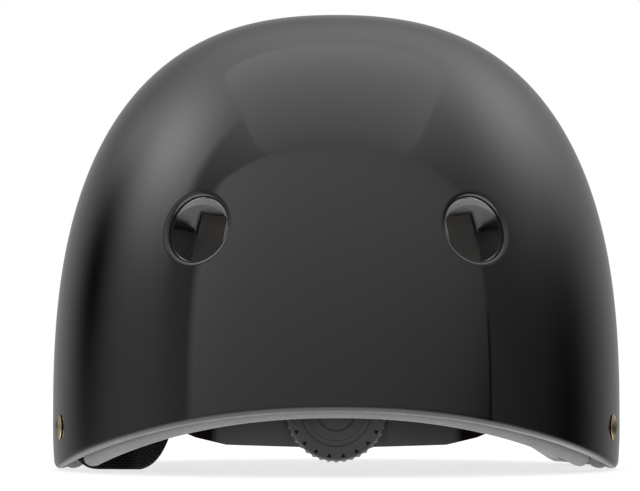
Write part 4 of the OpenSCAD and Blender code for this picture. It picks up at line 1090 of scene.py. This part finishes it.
def dial_rings():
    """The dial's section, from the hollow under it to its face: (radius, grip teeth's depth, height)."""
    hollow = [(2.6, 0, 1.6), (11.6, 0, 1.6), (12.2, 0, 1.2), (12.4, 0, 0.3), (12.8, 0, 0), (16.2, 0, 0)]
    grip = [(16.6, 0, 0.25), (16.9, 0.2, 1.0), (17.15, 0.5, 1.3), (17.3, 0.62, 1.8), (17.3, 0.62, 7.6),
            (17.15, 0.5, 8.1), (16.85, 0.2, 8.5), (16.75, 0, 8.9), (16.6, 0, 9.2), (16.3, 0, 9.42)]
    step = [(15.9, 0, DIAL_T), (12.0, 0, DIAL_T), (11.75, 0, 9.38), (11.6, 0, 9.2)]
    face = [(9.9, 0, 9.15), (9.78, 0, 9.02), (9.55, 0, 9.02), (9.4, 0, 9.15), (6.75, 0, 9.05),
            (6.6, 0, 8.7), (6.3, 0, 8.7), (6.1, 0, 9.1), (3, 0, 9.25), (0.6, 0, 9.3)]
    return hollow + grip + step + face


def mark_outlines():
    """Three-cornered marks in a ring, each with its tip to the middle."""
    corners = [(MARK_R - 1.0, 0.0), (MARK_R + 0.5, -0.85), (MARK_R + 0.5, 0.85)]
    for k in range(DIAL_MARKS):
        turn = 2 * math.pi * (k + 0.5) / DIAL_MARKS
        c, s = math.cos(turn), math.sin(turn)
        yield [(r * c - off * s, r * s + off * c) for r, off in corners]


def make_dial():
    """Turned dial with fine grip teeth, stepped face and a ring of dark sunk marks."""
    count = DIAL_TEETH * TOOTH_POINTS
    a = np.arange(count) * 2 * np.pi / count
    tooth = (0.5 - 0.5 * np.cos(a * DIAL_TEETH)) ** 0.8
    rings = dial_rings()
    verts = []
    for r, deep, z in rings:
        verts.extend(dial_point(q * math.sin(b), q * math.cos(b), z) for q, b in zip(r - deep * tooth, a))
    dial = new_object("dial_turned", verts, tube(len(rings), count), DIAL)
    face_out(dial)
    floor = DIAL_T - MARK_DEEP
    sunk = [prism(flat, floor + 0.1, DIAL_T + 1, dial_point) for flat in mark_outlines()]
    marks = [prism(flat, floor, floor + MARK_THICK, dial_point) for flat in mark_outlines()]
    cut(dial, sunk)
    smooth_by_angle(dial, 30)
    own(dial, "dial", "dial", "dial_knob")
    own(joined("dial_marks", marks, MARK), "dial", "dial")


RIGID = [
    ("helmet", "steel", STEEL, 0.15, ["rivet_washers"]),
    ("helmet", "pad", HOOK, 0.2, ["pad_fasteners"]),
    ("helmet", "buckle", BUCKLE, 0.3, ["anchor_sockets", "anchor_pins", "strap_divider_left",
                                       "strap_divider_right", "buckle_socket"]),
    ("helmet", "keeper", RUBBER, 0.3, ["tail_keeper"]),
    ("buckle_plug", "buckle", BUCKLE, 0.3, ["buckle_plug"]),
    ("fit_arms", "band", BAND, 0.3, ["temple_arm_left", "temple_arm_right"]),
    ("band_left", "band", BAND, 0.12, ["rack_band_left"]),
    ("band_right", "band", BAND, 0.12, ["rack_band_right"]),
    ("yoke", "band", BAND, 0.2, ["yoke_cover"]),
    ("yoke", "dial", YOKE, 0.35, ["yoke_housing"]),
    ("yoke", "steel", STEEL, 0.12, ["yoke_screws", "click_spring"]),
    ("dial", "band", BAND, 0.08, ["dial_pinion"]),
    ("dial", "steel", STEEL, 0.12, ["dial_screw"]),
]


def make_rigid():
    for body, slot, material, width, names in RIGID:
        for name in names:
            softened(name, body, slot, material, width)


# Stage, light and camera


def make_floor():
    """Floor that reaches to the horizon. It doesn't show in the gloss."""
    half = 30000
    corners = [(-half, -half, 0), (half, -half, 0), (half, half, 0), (-half, half, 0)]
    floor = new_object("floor", corners, [(0, 1, 2, 3)], floor_finish(), smooth=False)
    floor.visible_glossy = False


def softbox(name, size, place, aim, radiance):
    """Rectangular light of an even radiance, which isn't seen itself."""
    light = bpy.data.lights.new(name, "AREA")
    light.shape = "RECTANGLE"
    light.size, light.size_y = size
    light.energy = math.pi * size[0] * size[1] * radiance
    obj = placed(name, light)
    obj.location = place
    obj.rotation_euler = (Vector(aim) - Vector(place)).to_track_quat("-Z", "Y").to_euler()
    obj.visible_camera = False
    obj.visible_glossy = False


# The tent that the gloss shows, in degrees of azimuth from behind and of elevation. The walls' rises are
# (start, end, gain), and glows and dark gaps are (level, azimuth, elevation, width, height).
WALL_LEVEL, WALL_RISES = 0.32, [(25, 62, 0.8), (50, 80, 0.6)]
GLOWS = [(0.2, -84, 4, 20, 30), (1.5, 117, 36, 30, 20), (0.38, -131, 26, 12, 8)]
LEFT_GLOW, LEFT_GLOW_START = (2.5, -99, 38, 28, 17), (-71, -80)
GAPS = [(0.99, -125, 9, 15, 16), (1.0, 111, -3, 27, 25), (0.35, 82, -4, 18, 24)]
LOW_LEVEL, LOW_START = 3.0, (-13, -50)

# Panels ahead and above, in tangents from their middles. Edges are (start, full): left, right and top.
FRONT_LEVEL, FRONT_FALL, FRONT_CLIMB, FRONT_LOW = 0.7, (0.2, 0.035), (0.86, 0.33), -0.2
FRONT_EDGES = [(-1.95, -1.55), (2.06, 1.98), (1.70, 1.64)]
SEAM_EDGES = [(1.97, 2.0), (2.12, 2.09), (0.5, 0.3)]
TOP_LEVEL, TOP_FADE, TOP_MIDDLE, TOP_HALF, TOP_POWER = 1.8, 1.5, (0.05, -0.015), (0.525, 0.6), 7


class Studio:
    """Strength of the world by direction: a tent of pale walls under an overhead panel, with dark gaps."""

    def __init__(self, coords):
        least, degrees = 0.001, 180 / math.pi
        x, y, self.z = coords.parts()
        back, up = y * -1, self.z.math("MAXIMUM", least)
        self.ahead = back.math("MAXIMUM", least)
        self.turn = x.math("ARCTAN2", back) * degrees
        self.lift = self.z.math("ARCSINE") * degrees
        self.over = (x / up, y / up)
        self.front = (x / self.ahead, self.z / self.ahead)

    def glow(self, level, turn, lift, width, height):
        a, b = (self.turn - turn) / width, (self.lift - lift) / height
        return ((a * a + b * b) * -1).math("EXPONENT") * level

    def walls(self):
        """Walls that grow lighter upwards, with the side panels' glow."""
        level = WALL_LEVEL
        for start, end, gain in WALL_RISES:
            level = self.lift.step(start, end) * gain + level
        for spot in GLOWS:
            level = self.glow(*spot) + level
        return level + self.glow(*LEFT_GLOW) * self.turn.step(*LEFT_GLOW_START)

    def panel_ahead(self, left, right, top):
        side, rise = self.front
        return side.step(*left) * side.step(*right) * rise.step(*top) * self.ahead.step(0.03, 0.08)

    def front_wall(self):
        """Level of the panel round the camera, which is brighter to the left and upwards."""
        side, rise = self.front
        high = rise.math("MAXIMUM", FRONT_LOW)
        level = FRONT_LEVEL - side * (side * FRONT_FALL[1] + FRONT_FALL[0])
        return level + high * (FRONT_CLIMB[0] - high * FRONT_CLIMB[1])

    def overhead(self):
        """Level of the rounded panel above, brightest near its middle, and where it lies."""
        x, y = self.over
        x = (x.math("ABSOLUTE") / TOP_HALF[0]).math("POWER", TOP_POWER)
        off = y - TOP_MIDDLE[0]
        y = ((y - TOP_MIDDLE[1]).math("ABSOLUTE") / TOP_HALF[1]).math("POWER", TOP_POWER)
        edge = (x + y).math("POWER", 1 / TOP_POWER)
        return TOP_LEVEL - off * off * TOP_FADE, edge.step(1.03, 0.97) * self.z.step(0.2, 0.25)

    def level(self):
        total = self.walls()
        for gap in GAPS:
            total = total * (1 - self.glow(*gap))
        total = overlay(total, self.front_wall(), self.panel_ahead(*FRONT_EDGES))
        total = overlay(total, 0.0, self.panel_ahead(*SEAM_EDGES))
        total = overlay(total, *self.overhead())
        return overlay(total, LOW_LEVEL, self.lift.step(*LOW_START))


def overlay(under, level, mask):
    """Lays a level over another where the mask is 1."""
    return under * (1 - mask) + mask * level


def make_world():
    """White to the camera, even to matt surfaces, and the tent to glossy ones."""
    tent_tone, white, matt_level = (0.99, 0.99, 1.0), (1, 1, 1), 1.05
    world = bpy.data.worlds.new("studio")
    bpy.context.scene.world = world
    world.use_nodes = True
    tree = world.node_tree
    tent = Studio(Value(new_node(tree, "ShaderNodeTexCoord").outputs["Generated"])).level()
    shades = []
    for tone, level in ((tent_tone, tent), (white, matt_level), (white, 1.0)):
        shades.append(Value(new_node(tree, "ShaderNodeBackground", (*tone, 1), level).outputs[0]))
    path = new_node(tree, "ShaderNodeLightPath").outputs
    shown = shades[0]
    for kind, shade in (("Is Diffuse Ray", shades[1]), ("Is Camera Ray", shades[2])):
        shown = Value(path[kind]).node("ShaderNodeMixShader", shown, shade)
    feed(tree.nodes["World Output"].inputs[0], shown)


def make_light():
    """Soft panels above and in front light the matt surfaces. The gloss shows the tent."""
    softbox("overhead_panel", size=(1.3, 1.45), place=(0, -0.03, 1.2), aim=(0, -0.03, 0), radiance=0.5)
    softbox("front_panel", size=(1.6, 1.0), place=(-0.3, -2.2, 1.0), aim=(0, 0, 0.1), radiance=0.8)


def make_camera():
    data = bpy.data.cameras.new("camera")
    obj = placed("camera", data)
    obj.location = CAMERA_PLACE
    obj.rotation_euler = (math.radians(90 + CAMERA_TILT), 0, 0)
    data.sensor_width, data.lens, data.shift_x = FILM, LENS, SHIFT
    data.clip_start, data.clip_end = 0.01, 50
    bpy.context.scene.camera = obj


make_camera()
make_shell()
make_liner()
make_straps()
make_pads()
make_rivets()
make_rigid()
make_dial()
make_floor()
make_world()
make_light()
bpy.context.scene.view_settings.view_transform = "Standard"
